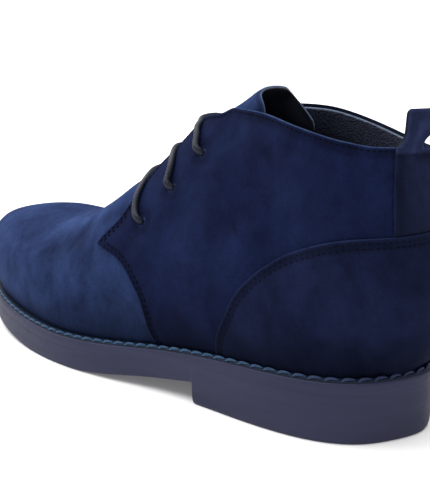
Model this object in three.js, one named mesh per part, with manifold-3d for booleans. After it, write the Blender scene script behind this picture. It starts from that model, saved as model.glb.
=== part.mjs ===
// A chukka boot for the left foot: a suede ankle boot with three eyelets a side, on a moulded sole.
// Millimetres. +X runs from heel to toe, +Y to the outer side of the foot, +Z up from the floor.
import * as THREE from 'three';
import { mergeVertices } from 'three/addons/utils/BufferGeometryUtils.js';
import Module from 'manifold-3d';

const wasm = await Module();
wasm.setup();

// ---- driving dimensions -------------------------------------------------------------------------
const LENGTH = 300; // sole, back of the heel to tip of the toe
const BALL_WIDTH = 100; // sole, across the ball
const INSTEP_HEIGHT = 100; // ridge of the instep above the floor, just ahead of mid length
const HEEL_BLOCK = 94.5; // heel block, back to breast
const WALL = 2.1; // upper with its lining
const GAP = 0.3; // between pieces that touch
const FEATHER = 5.2; // foot of the upper, in from the edge of the sole
const SOLE_TUCK = 0.8; // how far the sole's wall leans in at the floor
const SOLE_ROUND = 1.2; // rounding of the sole's edges
const WELT_HEIGHT = 1.8;
const WELT_EDGE = 1.0; // welt's outer edge, in from the edge of the sole
const INSOLE_THICKNESS = 2.8;
const OVERLAY = 1.1; // heel counter and back strip
const TONGUE_THICKNESS = 2.0;
const LACE_DIAMETER = 3.4;
const COLLAR_TOP = 200; // anything above this height is clear of the boot
const HALF_SPAN = 90; // half of a cutter's width across the boot
const CUT_BELOW = 12; // how far a cutter in the boot's form goes on below its foot
const THROAT_CUT = 14; // thickness of the cutter for the opening between the facings

// ---- tables: x in % of LENGTH, y in % of BALL_WIDTH, z in % of INSTEP_HEIGHT ---------------------
const named = (columns, ...rows) =>
  rows.map((row) => Object.fromEntries(columns.map((column, i) => [column, row[i]])));

// outline of the sole, heel to toe, one table for each side
const OUTER_EDGE = named(['x', 'y'],
  [0, -2.5], [1.6, 13.5], [4.8, 27.5], [9, 35.5], [15, 40], [26.7, 41.3], [38.3, 42], [47.3, 46],
  [56, 49], [63.3, 48.8], [70.7, 45.7], [80, 38.6], [88.7, 28], [95.5, 14], [99, 1], [100, -9]);
const INNER_EDGE = named(['x', 'y'],
  [0, -2.5], [1.5, -17], [4.8, -28.5], [9, -35], [15, -37.8], [26.7, -36.5], [38.3, -35.5],
  [48.3, -39.5], [58.3, -46.5], [68.3, -50.2], [78.3, -49.6], [87.3, -45], [94, -36.5],
  [98.3, -24.5], [100, -9]);

// top face of the sole: high under the heel, low under the ball, rising at the toe
const SOLE_TOP = named(['x', 'z'],
  [0, 27.5], [12.3, 26.4], [25, 25.2], [37.3, 22.1], [49.7, 18.3], [62, 16.7], [74.7, 18],
  [85, 20.3], [100, 25]);

// underside ahead of the heel block: the arch falls to a flat tread, then springs to the toe
const ARCH = named(['x', 'z'], [31.5, 10.3], [36, 8.1], [42, 5.6], [48, 2.8], [53, 0.9], [58, 0]);
const TOE_SPRING = named(['x', 'z'], [68.7, 0], [76, 1.1], [84, 3.2], [92, 6.4], [100, 10]);

// Sections of the foot's form, toe to ankle. Each lies in a plane square to the side view, from
// its base up to its ridge. With z 0 the base is on the top of the sole; otherwise it is on the
// back of the heel. outer and inner are the half widths at the widest, which is at the part
// "waist" of the way up; crown and flare are the powers of the curves above and below it.
const SECTIONS = named(
  ['at', 'ridgeX', 'ridgeZ', 'baseX', 'baseZ', 'outer', 'inner', 'waist', 'crown', 'flare', 'middle'],
  [0.0, 98.2, 24.4, 98.2, 0, 0.5, 0.5, 0.5, 2.0, 2.2, -9],
  [0.6, 99.1, 38, 97.9, 0, 8.5, 9.5, 0.5, 2.2, 2.2, -8.5],
  [1.2, 98.4, 52.7, 96.3, 0, 15.5, 18, 0.45, 2.3, 2.2, -8],
  [2.0, 95.4, 63.9, 93.0, 0, 23.5, 27, 0.4, 2.4, 2.2, -7],
  [3.0, 88.2, 70.5, 86.7, 0, 33, 36.5, 0.36, 2.25, 2.2, -6],
  [4.0, 78.3, 73.0, 77.3, 0, 42, 42, 0.34, 2.15, 2.2, -5],
  [5.0, 69.3, 72.9, 68.3, 0, 46.8, 43.8, 0.32, 2.1, 2.2, -4],
  [6.0, 61.5, 80.4, 59.7, 0, 47.8, 41.5, 0.3, 2.0, 2.2, -3],
  [7.0, 53.7, 95.3, 49.0, 0, 44.5, 36.8, 0.29, 1.9, 2.2, -1.5],
  [8.0, 46.3, 111, 35.0, 0, 40.5, 34.3, 0.29, 1.85, 2.2, -0.5],
  [9.0, 39.8, 127, 19.3, 0, 38.5, 34.5, 0.3, 1.85, 2.2, 0],
  [9.6, 36.3, 136, 10.0, 0, 37, 34, 0.31, 1.9, 2.2, -0.5],
  [10.2, 33.7, 143, 3.0, 0, 35.5, 33.5, 0.33, 2.0, 2.25, -2.2],
  [10.7, 32.0, 148, 0.73, 34, 34.5, 33, 0.35, 2.0, 2.25, -2.2],
  [11.4, 30.3, 154, -0.17, 50, 33.5, 32.5, 0.38, 2.0, 2.25, -1],
  [12.2, 28.8, 160, 0.17, 70, 32.5, 31.5, 0.42, 2.0, 2.2, 0],
  [13.0, 27.7, 165, 0.83, 90, 32, 31, 0.45, 2.0, 2.2, 0.5],
  [13.8, 26.8, 170, 1.33, 108, 32, 31.5, 0.46, 2.0, 2.2, 0.5],
  [14.6, 26.3, 175, 1.27, 125, 32, 32, 0.46, 2.0, 2.2, 0.5],
  [15.4, 26.0, 180, 1.0, 145, 32, 32, 0.46, 2.0, 2.2, 0.5]);

// edge of the collar from the side, back to front
const COLLAR = named(['x', 'z'],
  [-4, 120], [1.3, 120.2], [5, 121.4], [9.6, 124.1], [17, 129.7], [21.6, 132.6], [28.2, 134],
  [32, 134.4], [36, 133.4], [42, 131]);

// Edge of one facing: "at" names the section, reach is the distance from the ridge, round the form.
const FACING = named(['at', 'reach'],
  [7.55, 29], [7.66, 25.5], [7.8, 21], [8.0, 16.5], [8.3, 13.2], [8.7, 11.7], [9.15, 11.7],
  [9.45, 14.3], [9.7, 18.1], [9.95, 21.5], [10.2, 26], [10.6, 34]);

// The tongue follows the inside of the facings and leans back where it leaves them.
const TONGUE = named(['at', 'half', 'leanX', 'leanZ'],
  [7.15, 24, 0, 0], [7.6, 27, 0, 0], [8.1, 26, 0, 0], [8.6, 25, 0, 0], [9.1, 25, 0.2, 0],
  [9.5, 26, -1.6, -0.6], [9.9, 27, -4.6, -1.8], [10.3, 25.5, -8.8, -3], [10.55, 21.5, -12, -3.6],
  [10.75, 14, -15, -4.2]);

// top edge of the heel counter from the side, sole to back of the heel
const COUNTER = named(['x', 'z'],
  [27.6, 20], [27.4, 28], [26.8, 36.5], [25.3, 45.9], [23.5, 56.6], [21.2, 64.9], [18.7, 71.5],
  [16.2, 76.3], [13.2, 80.2], [9.4, 84], [6, 86], [2.5, 86.8], [-4, 87]);

// back strip in the back view, and the finger slot of its loop: half widths and heights
const STRIP = {
  footHalf: 21, foot: 87.8, half: 19, collar: 121.3, neckHalf: 15, neck: 127.5, top: 135.6, corner: 2.5,
};
const SLOT = { half: 6, foot: 121, top: 128 };
const STRIP_PATCH = { from: 12.3, to: 15.35, half: 25 }; // sections and half girth that the strip is cut from

// one eyelet a side for each lace: section and distance from the ridge
const EYELETS = named(['at', 'reach'], [7.83, 46.5], [8.52, 38.5], [9.25, 32]);

const LACE = new THREE.MeshStandardMaterial({ color: 0x2b3040, roughness: 0.55, metalness: 0 });
const SUEDE = new THREE.MeshStandardMaterial({ color: 0x1b2338, roughness: 0.95, metalness: 0 });
const LINING = new THREE.MeshStandardMaterial({ color: 0x12161d, roughness: 0.7, metalness: 0 });
const RUBBER = new THREE.MeshStandardMaterial({ color: 0x3f4150, roughness: 0.6, metalness: 0 });
const THREAD = new THREE.MeshStandardMaterial({ color: 0x3a5f74, roughness: 0.8, metalness: 0 });

// ---- curves -------------------------------------------------------------------------------------
// cubic spline through (ts, values), with a natural end wherever no end slope is given
function spline(ts, values, startSlope = null, endSlope = null) {
  const n = ts.length;
  const step = ts.slice(1).map((t, i) => t - ts[i]);
  const rise = step.map((h, i) => (values[i + 1] - values[i]) / h);
  const lower = new Array(n).fill(0);
  const middle = new Array(n).fill(1);
  const upper = new Array(n).fill(0);
  const right = new Array(n).fill(0);
  for (let i = 1; i < n - 1; i++) {
    lower[i] = step[i - 1];
    middle[i] = 2 * (step[i - 1] + step[i]);
    upper[i] = step[i];
    right[i] = 6 * (rise[i] - rise[i - 1]);
  }
  if (startSlope !== null) {
    middle[0] = 2 * step[0];
    upper[0] = step[0];
    right[0] = 6 * (rise[0] - startSlope);
  }
  if (endSlope !== null) {
    middle[n - 1] = 2 * step[n - 2];
    lower[n - 1] = step[n - 2];
    right[n - 1] = 6 * (endSlope - rise[n - 2]);
  }
  for (let i = 1; i < n; i++) {
    const factor = lower[i] / middle[i - 1];
    middle[i] -= factor * upper[i - 1];
    right[i] -= factor * right[i - 1];
  }
  const bend = new Array(n);
  bend[n - 1] = right[n - 1] / middle[n - 1];
  for (let i = n - 2; i >= 0; i--) bend[i] = (right[i] - upper[i] * bend[i + 1]) / middle[i];
  return (t) => {
    let k = 0;
    while (k < n - 2 && t >= ts[k + 1]) k += 1;
    const b = (t - ts[k]) / step[k];
    const a = 1 - b;
    const bending = ((a ** 3 - a) * bend[k] + (b ** 3 - b) * bend[k + 1]) * step[k] ** 2 / 6;
    return a * values[k] + b * values[k + 1] + bending;
  };
}

const alongX = (value) => value * LENGTH / 100;
const acrossY = (value) => value * BALL_WIDTH / 100;
const upZ = (value) => value * INSTEP_HEIGHT / 100;
const curveXZ = (table, startSlope, endSlope) =>
  spline(table.map((p) => alongX(p.x)), table.map((p) => upZ(p.z)), startSlope, endSlope);
const interpolate = (x, xs, ys) => {
  let k = 0;
  while (k < xs.length - 2 && x >= xs[k + 1]) k += 1;
  const part = Math.min(1, Math.max(0, (x - xs[k]) / (xs[k + 1] - xs[k] || 1)));
  return ys[k] + (ys[k + 1] - ys[k]) * part;
};

// ---- sole outline -------------------------------------------------------------------------------
// One side of the outline, square to the long axis at both ends, moved in by an inset.
function halfOutline(table, side, inset, count = 240) {
  const xs = table.map((p) => alongX(p.x));
  const ys = table.map((p) => acrossY(p.y));
  const ts = [0];
  for (let i = 1; i < xs.length; i++) {
    ts.push(ts[i - 1] + Math.hypot(xs[i] - xs[i - 1], ys[i] - ys[i - 1]));
  }
  const total = ts[ts.length - 1];
  const curveX = spline(ts, xs, 0, 0);
  const curveY = spline(ts, ys, side, -side);
  const nudge = 1e-3;
  return Array.from({ length: count }, (_, i) => {
    const t = total * i / (count - 1);
    const dx = curveX(t + nudge) - curveX(t - nudge);
    const dy = curveY(t + nudge) - curveY(t - nudge);
    const length = Math.hypot(dx, dy);
    return { x: curveX(t) + dy / length * side * inset, y: curveY(t) - dx / length * side * inset };
  });
}

// distance from the long axis to the inset outline, as a function of x
function sideOf(inset) {
  const outer = halfOutline(OUTER_EDGE, 1, inset);
  const inner = halfOutline(INNER_EDGE, -1, inset);
  const reader = (points) => {
    const xs = points.map((p) => p.x);
    const ys = points.map((p) => p.y);
    return (x) => interpolate(x, xs, ys);
  };
  return { outer: reader(outer), inner: reader(inner) };
}

const soleTop = curveXZ(SOLE_TOP);
const arch = curveXZ(ARCH, null, 0);
const toeSpring = curveXZ(TOE_SPRING, 0, null);
const feather = sideOf(FEATHER);

function soleBottom(x) {
  if (x <= HEEL_BLOCK) return 0;
  if (x <= alongX(ARCH[ARCH.length - 1].x)) return arch(x);
  if (x >= alongX(TOE_SPRING[0].x)) return toeSpring(x);
  return 0;
}

// ---- the form that the upper is made on ---------------------------------------------------------
const sectionAt = SECTIONS.map((row) => row.at);
const baseHeight = (row) => (row.baseZ === 0 ? soleTop(alongX(row.baseX)) : upZ(row.baseZ));
const column = (read) => spline(sectionAt, SECTIONS.map(read));
const form = {
  ridgeX: column((row) => alongX(row.ridgeX)),
  ridgeZ: column((row) => upZ(row.ridgeZ)),
  baseX: column((row) => alongX(row.baseX)),
  baseZ: column(baseHeight),
  outer: column((row) => acrossY(row.outer)),
  inner: column((row) => acrossY(row.inner)),
  waist: column((row) => row.waist),
  crown: column((row) => row.crown),
  flare: column((row) => row.flare),
  middle: column((row) => acrossY(row.middle)),
};

// the section whose base comes to the back of the heel: behind it every section is a closed ring
const HEEL_AT = (() => {
  const fine = 0.001;
  let at = SECTIONS.find((row) => alongX(row.baseX) < HEEL_BLOCK).at;
  while (form.baseX(at) > FEATHER) at += fine;
  return at;
})();

// points on one side of a section, base to ridge, with the distance of each from the ridge
function sectionSide(at, side, count = 90) {
  const closed = at > HEEL_AT;
  const baseX = form.baseX(at);
  const baseZ = closed ? form.baseZ(at) : soleTop(baseX);
  const middle = form.middle(at);
  const edge = side > 0 ? feather.outer(baseX) : feather.inner(baseX);
  const half = closed ? 0 : Math.max(0, (edge - middle) * side);
  const widest = side > 0 ? form.outer(at) : form.inner(at);
  const reach = (widest ** 12 + half ** 12) ** (1 / 12);
  const ratio = Math.min(half / reach, 0.9999);
  const waist = form.waist(at);
  const flare = form.flare(at);
  const crown = form.crown(at);
  const depth = waist / (1 - ratio ** flare) ** (1 / flare);
  const start = Math.acos(Math.min(1, ratio ** (flare / 2)));
  const points = [];
  const add = (y, height) => {
    const up = Math.max(0, height);
    const x = baseX + (form.ridgeX(at) - baseX) * up;
    const z = baseZ + (form.ridgeZ(at) - baseZ) * up;
    points.push(new THREE.Vector3(x, middle + side * y, z));
  };
  for (let i = 0; i < count; i++) {
    const angle = start * (1 - i / (count - 1));
    add(reach * Math.cos(angle) ** (2 / flare), waist - depth * Math.sin(angle) ** (2 / flare));
  }
  for (let i = 1; i < count; i++) {
    const angle = Math.PI / 2 * i / (count - 1);
    add(reach * Math.cos(angle) ** (2 / crown), waist + (1 - waist) * Math.sin(angle) ** (2 / crown));
  }
  const fromRidge = new Array(points.length).fill(0);
  for (let i = points.length - 2; i >= 0; i--) {
    fromRidge[i] = fromRidge[i + 1] + points[i].distanceTo(points[i + 1]);
  }
  return { points, fromRidge, girth: fromRidge[0] };
}

// the point of a section side at a distance from the ridge
function atReach(side, distance) {
  const { points, fromRidge } = side;
  let k = 0;
  while (k < points.length - 2 && fromRidge[k + 1] > distance) k += 1;
  const part = (fromRidge[k] - distance) / (fromRidge[k] - fromRidge[k + 1] || 1);
  return points[k].clone().lerp(points[k + 1], Math.min(1, Math.max(0, part)));
}

// evenly spaced numbers
const steps = (from, to, count) =>
  Array.from({ length: count }, (_, i) => from + (to - from) * i / (count - 1));

// the point of the form at a section and a distance from the ridge, + on the outer side
function formPoint(at, distance) {
  return atReach(sectionSide(at, Math.sign(distance) || 1), Math.abs(distance));
}

// ---- solids -------------------------------------------------------------------------------------
function toSolid(geometry) {
  const bare = new THREE.BufferGeometry();
  bare.setAttribute('position', geometry.getAttribute('position'));
  bare.setIndex(geometry.getIndex());
  const merged = mergeVertices(bare, 1e-4);
  const index = Array.from(merged.getIndex().array);
  const kept = [];
  for (let i = 0; i < index.length; i += 3) {
    const [a, b, c] = index.slice(i, i + 3);
    if (a !== b && b !== c && c !== a) kept.push(a, b, c);
  }
  const vertProperties = new Float32Array(merged.getAttribute('position').array);
  return new wasm.Manifold(new wasm.Mesh({ numProp: 3, vertProperties, triVerts: new Uint32Array(kept) }));
}

function toGeometry(solid) {
  const { vertProperties, triVerts } = solid.getMesh();
  const geometry = new THREE.BufferGeometry();
  geometry.setAttribute('position', new THREE.BufferAttribute(vertProperties, 3));
  geometry.setIndex(new THREE.BufferAttribute(triVerts, 1));
  return geometry;
}

// closed body through rings of points, each ring with the same count
function skin(rings, wrapRings = false) {
  const n = rings[0].length;
  const positions = [];
  for (const ring of rings) for (const p of ring) positions.push(p.x, p.y, p.z);
  const index = [];
  const last = wrapRings ? rings.length : rings.length - 1;
  for (let i = 0; i < last; i++) {
    const next = (i + 1) % rings.length;
    for (let j = 0; j < n; j++) {
      const k = (j + 1) % n;
      index.push(i * n + j, next * n + j, next * n + k);
      index.push(i * n + j, next * n + k, i * n + k);
    }
  }
  if (!wrapRings) {
    for (const [start, flip] of [[0, false], [(rings.length - 1) * n, true]]) {
      const centre = positions.length / 3;
      const ring = rings[start / n];
      const mean = ring.reduce((sum, p) => sum.add(p), new THREE.Vector3()).divideScalar(n);
      positions.push(mean.x, mean.y, mean.z);
      for (let j = 0; j < n; j++) {
        const k = (j + 1) % n;
        index.push(centre, start + (flip ? k : j), start + (flip ? j : k));
      }
    }
  }
  const geometry = new THREE.BufferGeometry();
  geometry.setAttribute('position', new THREE.Float32BufferAttribute(positions, 3));
  geometry.setIndex(index);
  return outward(geometry);
}

// turns the triangles over where the body would be inside out
function outward(geometry) {
  const p = geometry.getAttribute('position');
  const index = geometry.getIndex().array;
  const [a, b, c] = [new THREE.Vector3(), new THREE.Vector3(), new THREE.Vector3()];
  let volume = 0;
  for (let i = 0; i < index.length; i += 3) {
    a.fromBufferAttribute(p, index[i]);
    b.fromBufferAttribute(p, index[i + 1]);
    c.fromBufferAttribute(p, index[i + 2]);
    volume += a.dot(b.cross(c));
  }
  if (volume < 0) {
    for (let i = 0; i < index.length; i += 3) [index[i], index[i + 1]] = [index[i + 1], index[i]];
  }
  return geometry;
}

// Normals of a grid of points. In a closed row the last point is the first one again.
function gridNormals(grid, isClosed = () => false) {
  const n = grid[0].length;
  return grid.map((row, i) => {
    const closed = isClosed(i);
    const mean = row.reduce((sum, p) => sum.add(p), new THREE.Vector3()).divideScalar(n);
    const normals = row.map((point, j) => {
      const along = grid[Math.min(grid.length - 1, i + 1)][j].clone().sub(grid[Math.max(0, i - 1)][j]);
      const before = row[j > 0 ? j - 1 : (closed ? n - 2 : 0)];
      const after = row[j < n - 1 ? j + 1 : (closed ? 1 : n - 1)];
      const normal = along.cross(after.clone().sub(before));
      return normal.lengthSq() > 1e-12 ? normal.normalize() : point.clone().sub(mean).normalize();
    });
    if (closed) {
      const shared = normals[0].clone().add(normals[n - 1]).normalize();
      normals[0] = shared;
      normals[n - 1] = shared;
    }
    return normals;
  });
}

const offsetGrid = (grid, normals, distance) =>
  grid.map((row, i) => row.map((p, j) => p.clone().addScaledVector(normals[i][j], distance)));

const HALF_POINTS = 14;
const FORM_ROWS = spreadRows(35);

// Sections spaced so that neither the ridge nor the foot of the form moves far between two of them.
// The foot's way counts for a little less than the ridge's.
function spreadRows(count) {
  const BASE_SHARE = 0.8;
  const top = SECTIONS[SECTIONS.length - 1].at;
  const ats = steps(0, top, 600);
  const travelled = [0];
  let before = null;
  ats.forEach((at, i) => {
    const baseX = form.baseX(at);
    const base = new THREE.Vector2(baseX, at > HEEL_AT ? form.baseZ(at) : feather.outer(baseX));
    const ridge = new THREE.Vector2(form.ridgeX(at), form.ridgeZ(at));
    if (before) {
      const moved = Math.max(base.distanceTo(before.base) * BASE_SHARE, ridge.distanceTo(before.ridge));
      travelled.push(travelled[i - 1] + moved);
    }
    before = { base, ridge };
    if (at <= HEEL_AT && ats[i + 1] > HEEL_AT) before.base.set(FEATHER, form.baseZ(HEEL_AT));
  });
  const total = travelled[travelled.length - 1];
  return steps(0, total, count).map((length) => interpolate(length, travelled, ats));
}

function formGrid() {
  return FORM_ROWS.map((at) => {
    const outer = sectionSide(at, 1);
    const inner = sectionSide(at, -1);
    const parts = steps(0, 1, HALF_POINTS);
    const left = parts.map((part) => atReach(outer, outer.girth * (1 - part)));
    const right = parts.map((part) => atReach(inner, inner.girth * part));
    return [...left, ...right.slice(1)];
  });
}

const FORM_GRID = formGrid();
const FORM_NORMALS = gridNormals(FORM_GRID, (i) => FORM_ROWS[i] > HEEL_AT);

// The foot's form as a closed body, moved out by an offset (in where it is negative). Below its
// edge it goes down by "below", so that a cutter reaches through the underside.
function formBody(offset, below) {
  const moved = offsetGrid(FORM_GRID, FORM_NORMALS, offset);
  const rings = moved.map((row, i) => {
    if (FORM_ROWS[i] > HEEL_AT) return [row[0], ...row, row[row.length - 1]];
    const drop = new THREE.Vector3(0, 0, -below);
    return [row[0].clone().add(drop), ...row, row[row.length - 1].clone().add(drop)];
  });
  return toSolid(skin(rings));
}

// a body between two offsets of a grid of points, each row then moved by its own shift
function slab(grid, low, high, shift = () => new THREE.Vector3()) {
  const normals = gridNormals(grid);
  const at = (distance) =>
    offsetGrid(grid, normals, distance).map((row, i) => row.map((p) => p.add(shift(i))));
  const bottom = at(low);
  const top = at(high);
  return toSolid(skin(bottom.map((row, i) => [...row, ...top[i].slice().reverse()])));
}

// the main body of a cut solid, without the chips that the cut leaves
const largest = (solid) =>
  solid.decompose().reduce((best, body) => (body.volume() > best.volume() ? body : best));

// a flat outline in the side view, carried across the whole boot
function sidePrism(points) {
  const shape = new THREE.Shape(points.map((p) => new THREE.Vector2(p.x, p.z)));
  const geometry = new THREE.ExtrudeGeometry(shape, { depth: 2 * HALF_SPAN, bevelEnabled: false, steps: 1 });
  geometry.rotateX(Math.PI / 2);
  geometry.translate(0, HALF_SPAN, 0);
  return toSolid(withIndex(geometry));
}

// a flat outline in the back view, carried along the boot
function backPrism(shape, fromX, toX) {
  const geometry = new THREE.ExtrudeGeometry(shape, { depth: toX - fromX, bevelEnabled: false, steps: 1 });
  geometry.applyMatrix4(new THREE.Matrix4().makeBasis(
    new THREE.Vector3(0, 1, 0), new THREE.Vector3(0, 0, 1), new THREE.Vector3(1, 0, 0)));
  geometry.translate(fromX, 0, 0);
  return toSolid(withIndex(geometry));
}

function withIndex(geometry) {
  const count = geometry.getAttribute('position').count;
  geometry.setIndex(Array.from({ length: count }, (_, i) => i));
  return geometry;
}

const sample = (table, count) => {
  const curve = curveXZ(table);
  const xs = steps(alongX(table[0].x), alongX(table[table.length - 1].x), count);
  return xs.map((x) => ({ x, z: curve(x) }));
};

// ---- pieces -------------------------------------------------------------------------------------
// stations along the sole, closer together towards both ends
const stations = (from, to, count) =>
  steps(0, Math.PI, count).map((angle) => from + (to - from) * (1 - Math.cos(angle)) / 2);

function makeSole() {
  const rim = sideOf(0);
  const ahead = HEEL_BLOCK + 0.4;
  const breast = named(['x', 'z'],
    [HEEL_BLOCK - 2.2, 0], [HEEL_BLOCK - 0.6, 0.9], [HEEL_BLOCK, 3], [ahead, soleBottom(ahead)]);
  const clear = 5; // no other station this near the breast
  const along = stations(0, LENGTH, 44).filter((x) => Math.abs(x - HEEL_BLOCK) > clear);
  const marks = [...along.map((x) => ({ x, z: soleBottom(x) })), ...breast].sort((a, b) => a.x - b.x);
  const rings = marks.map(({ x, z }) => {
    const left = rim.outer(x);
    const right = rim.inner(x);
    const top = soleTop(x);
    const room = (left - right) / 2;
    const round = Math.min(SOLE_ROUND, room);
    const tuck = Math.min(SOLE_TUCK, room);
    const foot = Math.min(SOLE_TUCK + SOLE_ROUND, room);
    const corners = [
      [left - round, top], [left, top - round], [left - tuck, z + round], [left - foot, z],
      [right + foot, z], [right + tuck, z + round], [right, top - round], [right + round, top]];
    return corners.map((corner) => new THREE.Vector3(x, ...corner));
  });
  return toSolid(skin(rings));
}

function makeInsole() {
  const rim = sideOf(FEATHER);
  const rings = stations(FEATHER, LENGTH - FEATHER, 20).map((x) => {
    const low = soleTop(x) + GAP;
    const high = low + INSOLE_THICKNESS;
    const corners = [[rim.outer(x), low], [rim.outer(x), high], [rim.inner(x), high], [rim.inner(x), low]];
    return corners.map((corner) => new THREE.Vector3(x, ...corner));
  });
  return largest(toSolid(skin(rings)).intersect(formBody(-WALL - GAP, CUT_BELOW)));
}

function makeWelt() {
  const count = 34;
  const loop = (inset) => [
    ...halfOutline(OUTER_EDGE, 1, inset, count),
    ...halfOutline(INNER_EDGE, -1, inset, count).reverse().slice(1, -1)];
  const inside = loop(FEATHER + 1);
  const rings = loop(WELT_EDGE).map((edge, i) => {
    const low = [edge, inside[i]].map((p) => new THREE.Vector3(p.x, p.y, soleTop(p.x) + GAP));
    const high = low.map((p) => p.clone().setZ(p.z + WELT_HEIGHT));
    return [low[0], high[0], high[1], low[1]];
  });
  const ring = toSolid(skin(rings, true));
  const outside = ring.subtract(formBody(OVERLAY + 2 * GAP, CUT_BELOW));
  return largest(outside.subtract(formBody(GAP, CUT_BELOW)));
}

// everything below the top face of the sole, with the gap that keeps two pieces apart
function soleCutter() {
  const reach = 20; // beyond both ends of the sole
  const floor = -20;
  const edge = steps(-reach, LENGTH + reach, 60).map((x) => (
    { x, z: soleTop(Math.min(LENGTH, Math.max(0, x))) + GAP }));
  return sidePrism([{ x: -reach, z: floor }, { x: LENGTH + reach, z: floor }, ...edge.reverse()]);
}

function collarCutter() {
  const edge = sample(COLLAR, 22);
  return sidePrism([...edge, { x: edge[edge.length - 1].x, z: COLLAR_TOP }, { x: edge[0].x, z: COLLAR_TOP }]);
}

// the opening between the facings: a thick patch of the form's own surface
function throatCutter() {
  const grid = FACING.map(({ at, reach }) =>
    steps(reach, -reach, 13).map((distance) => formPoint(at, distance)));
  return slab(grid, -THROAT_CUT / 2, THROAT_CUT / 2);
}

function makeUpper() {
  return formBody(0, 0).subtract(formBody(-WALL, CUT_BELOW)).subtract(soleCutter())
    .subtract(collarCutter()).subtract(throatCutter());
}

function makeTongue() {
  const column = (read) => spline(TONGUE.map((row) => row.at), TONGUE.map(read));
  const half = column((row) => row.half);
  const leanX = column((row) => row.leanX);
  const leanZ = column((row) => row.leanZ);
  const ats = steps(TONGUE[0].at, TONGUE[TONGUE.length - 1].at, 13);
  const grid = ats.map((at) => steps(half(at), -half(at), 11).map((distance) => formPoint(at, distance)));
  const top = -WALL - 2 * GAP;
  const lean = (i) => new THREE.Vector3(leanX(ats[i]), 0, leanZ(ats[i]));
  return slab(grid, top - TONGUE_THICKNESS, top, lean);
}

function makeCounter() {
  const edge = COUNTER.map((p) => ({ x: alongX(p.x), z: upZ(p.z) }));
  const region = sidePrism([...edge, { x: edge[edge.length - 1].x, z: edge[0].z }]);
  return formBody(GAP + OVERLAY, 0).subtract(formBody(GAP, CUT_BELOW)).subtract(soleCutter())
    .intersect(region);
}

// The strip up the back of the boot, which ends above the collar in a pull loop with a finger slot.
function makeBackStrip() {
  const shape = new THREE.Shape();
  const { footHalf, foot, half, collar, neckHalf, neck, top, corner } = STRIP;
  shape.moveTo(-footHalf, foot);
  shape.lineTo(footHalf, foot);
  shape.lineTo(half, collar);
  shape.quadraticCurveTo(neckHalf, collar + 1, neckHalf, neck);
  shape.lineTo(neckHalf, top - corner);
  shape.quadraticCurveTo(neckHalf, top, neckHalf - corner, top);
  shape.lineTo(corner - neckHalf, top);
  shape.quadraticCurveTo(-neckHalf, top, -neckHalf, top - corner);
  shape.lineTo(-neckHalf, neck);
  shape.quadraticCurveTo(-neckHalf, collar + 1, -half, collar);
  const slot = new THREE.Path();
  slot.moveTo(-SLOT.half, SLOT.foot);
  slot.bezierCurveTo(-SLOT.half, SLOT.top, SLOT.half, SLOT.top, SLOT.half, SLOT.foot);
  slot.lineTo(-SLOT.half, SLOT.foot);
  shape.holes.push(slot);
  const grid = steps(STRIP_PATCH.from, STRIP_PATCH.to, 10).map((at) => {
    const sides = { outer: sectionSide(at, 1), inner: sectionSide(at, -1) };
    return steps(-1, 1, 11).map((part) => {
      const side = part < 0 ? sides.inner : sides.outer;
      return atReach(side, side.girth - Math.abs(part) * STRIP_PATCH.half);
    });
  });
  const [behind, ahead] = [-20, 30]; // clear of the strip at both ends
  return slab(grid, GAP, GAP + OVERLAY).intersect(backPrism(shape, behind, ahead));
}

// A lace stands up out of its eyelet, bends over and lies across the facings to the other side:
// "back" is the distance from the eyelet towards the ridge, "lift" the height over the form.
function makeLace({ at, reach }) {
  const radius = LACE_DIAMETER / 2;
  const resting = radius + 2 * GAP;
  const rises = named(['back', 'lift'],
    [0, 0], [0.2, 1.9], [1.8, 3.0], [4.5, 3.2], [9, 2.9], [15, resting], [reach, resting]);
  const onSide = (side) => rises.map(({ back, lift }) => liftedPoint(at, side * (reach - back), lift));
  const points = [...onSide(1), ...onSide(-1).reverse().slice(1)];
  const path = new THREE.CatmullRomCurve3(points, false, 'centripetal');
  const circle = new THREE.Shape().absarc(0, 0, radius, 0, 2 * Math.PI);
  const geometry = new THREE.ExtrudeGeometry(circle, { steps: 20, curveSegments: 6, extrudePath: path });
  return largest(toSolid(outward(withIndex(geometry))).subtract(formBody(GAP, 0)));
}

// a point of the form moved straight out by a lift
function liftedPoint(at, distance, lift) {
  const nudge = 0.4;
  const between = 0.04; // sections
  const along = formPoint(at + between, distance).sub(formPoint(at - between, distance));
  const around = formPoint(at, distance - nudge).sub(formPoint(at, distance + nudge));
  return formPoint(at, distance).addScaledVector(along.cross(around).normalize(), lift);
}

// ---- boot ---------------------------------------------------------------------------------------
const boot = new THREE.Group();

function place(name, solid, material) {
  const mesh = new THREE.Mesh(toGeometry(solid), material);
  mesh.name = name;
  boot.add(mesh);
}

place('sole', makeSole(), RUBBER);
place('welt', makeWelt(), THREAD);
place('insole', makeInsole(), LINING);
place('upper', makeUpper(), SUEDE);
place('tongue', makeTongue(), SUEDE);
place('heel_counter', makeCounter(), SUEDE);
place('back_strip', makeBackStrip(), SUEDE);
EYELETS.forEach((eyelet, i) => place(`lace_${i + 1}`, makeLace(eyelet), LACE));

// origin at the middle of the boot's footprint, on the floor
const box = new THREE.Box3().setFromObject(boot);
const middle = box.getCenter(new THREE.Vector3());
boot.position.set(-middle.x, -middle.y, -box.min.z);

const part = new THREE.Group();
part.add(boot);
part.updateMatrixWorld(true);

export default part;
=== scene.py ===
"""A suede chukka boot for the left foot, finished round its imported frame.

The boot's own axes are used throughout: millimetres, x from the back of the heel to the toe, y to
the outer side of the foot, z up from the floor. cobble() and in_frame() turn them into the frame's
metres, in which the finishes work too.
"""
import math

import bmesh
import bpy
import numpy as np
from mathutils import Matrix, Vector


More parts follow.
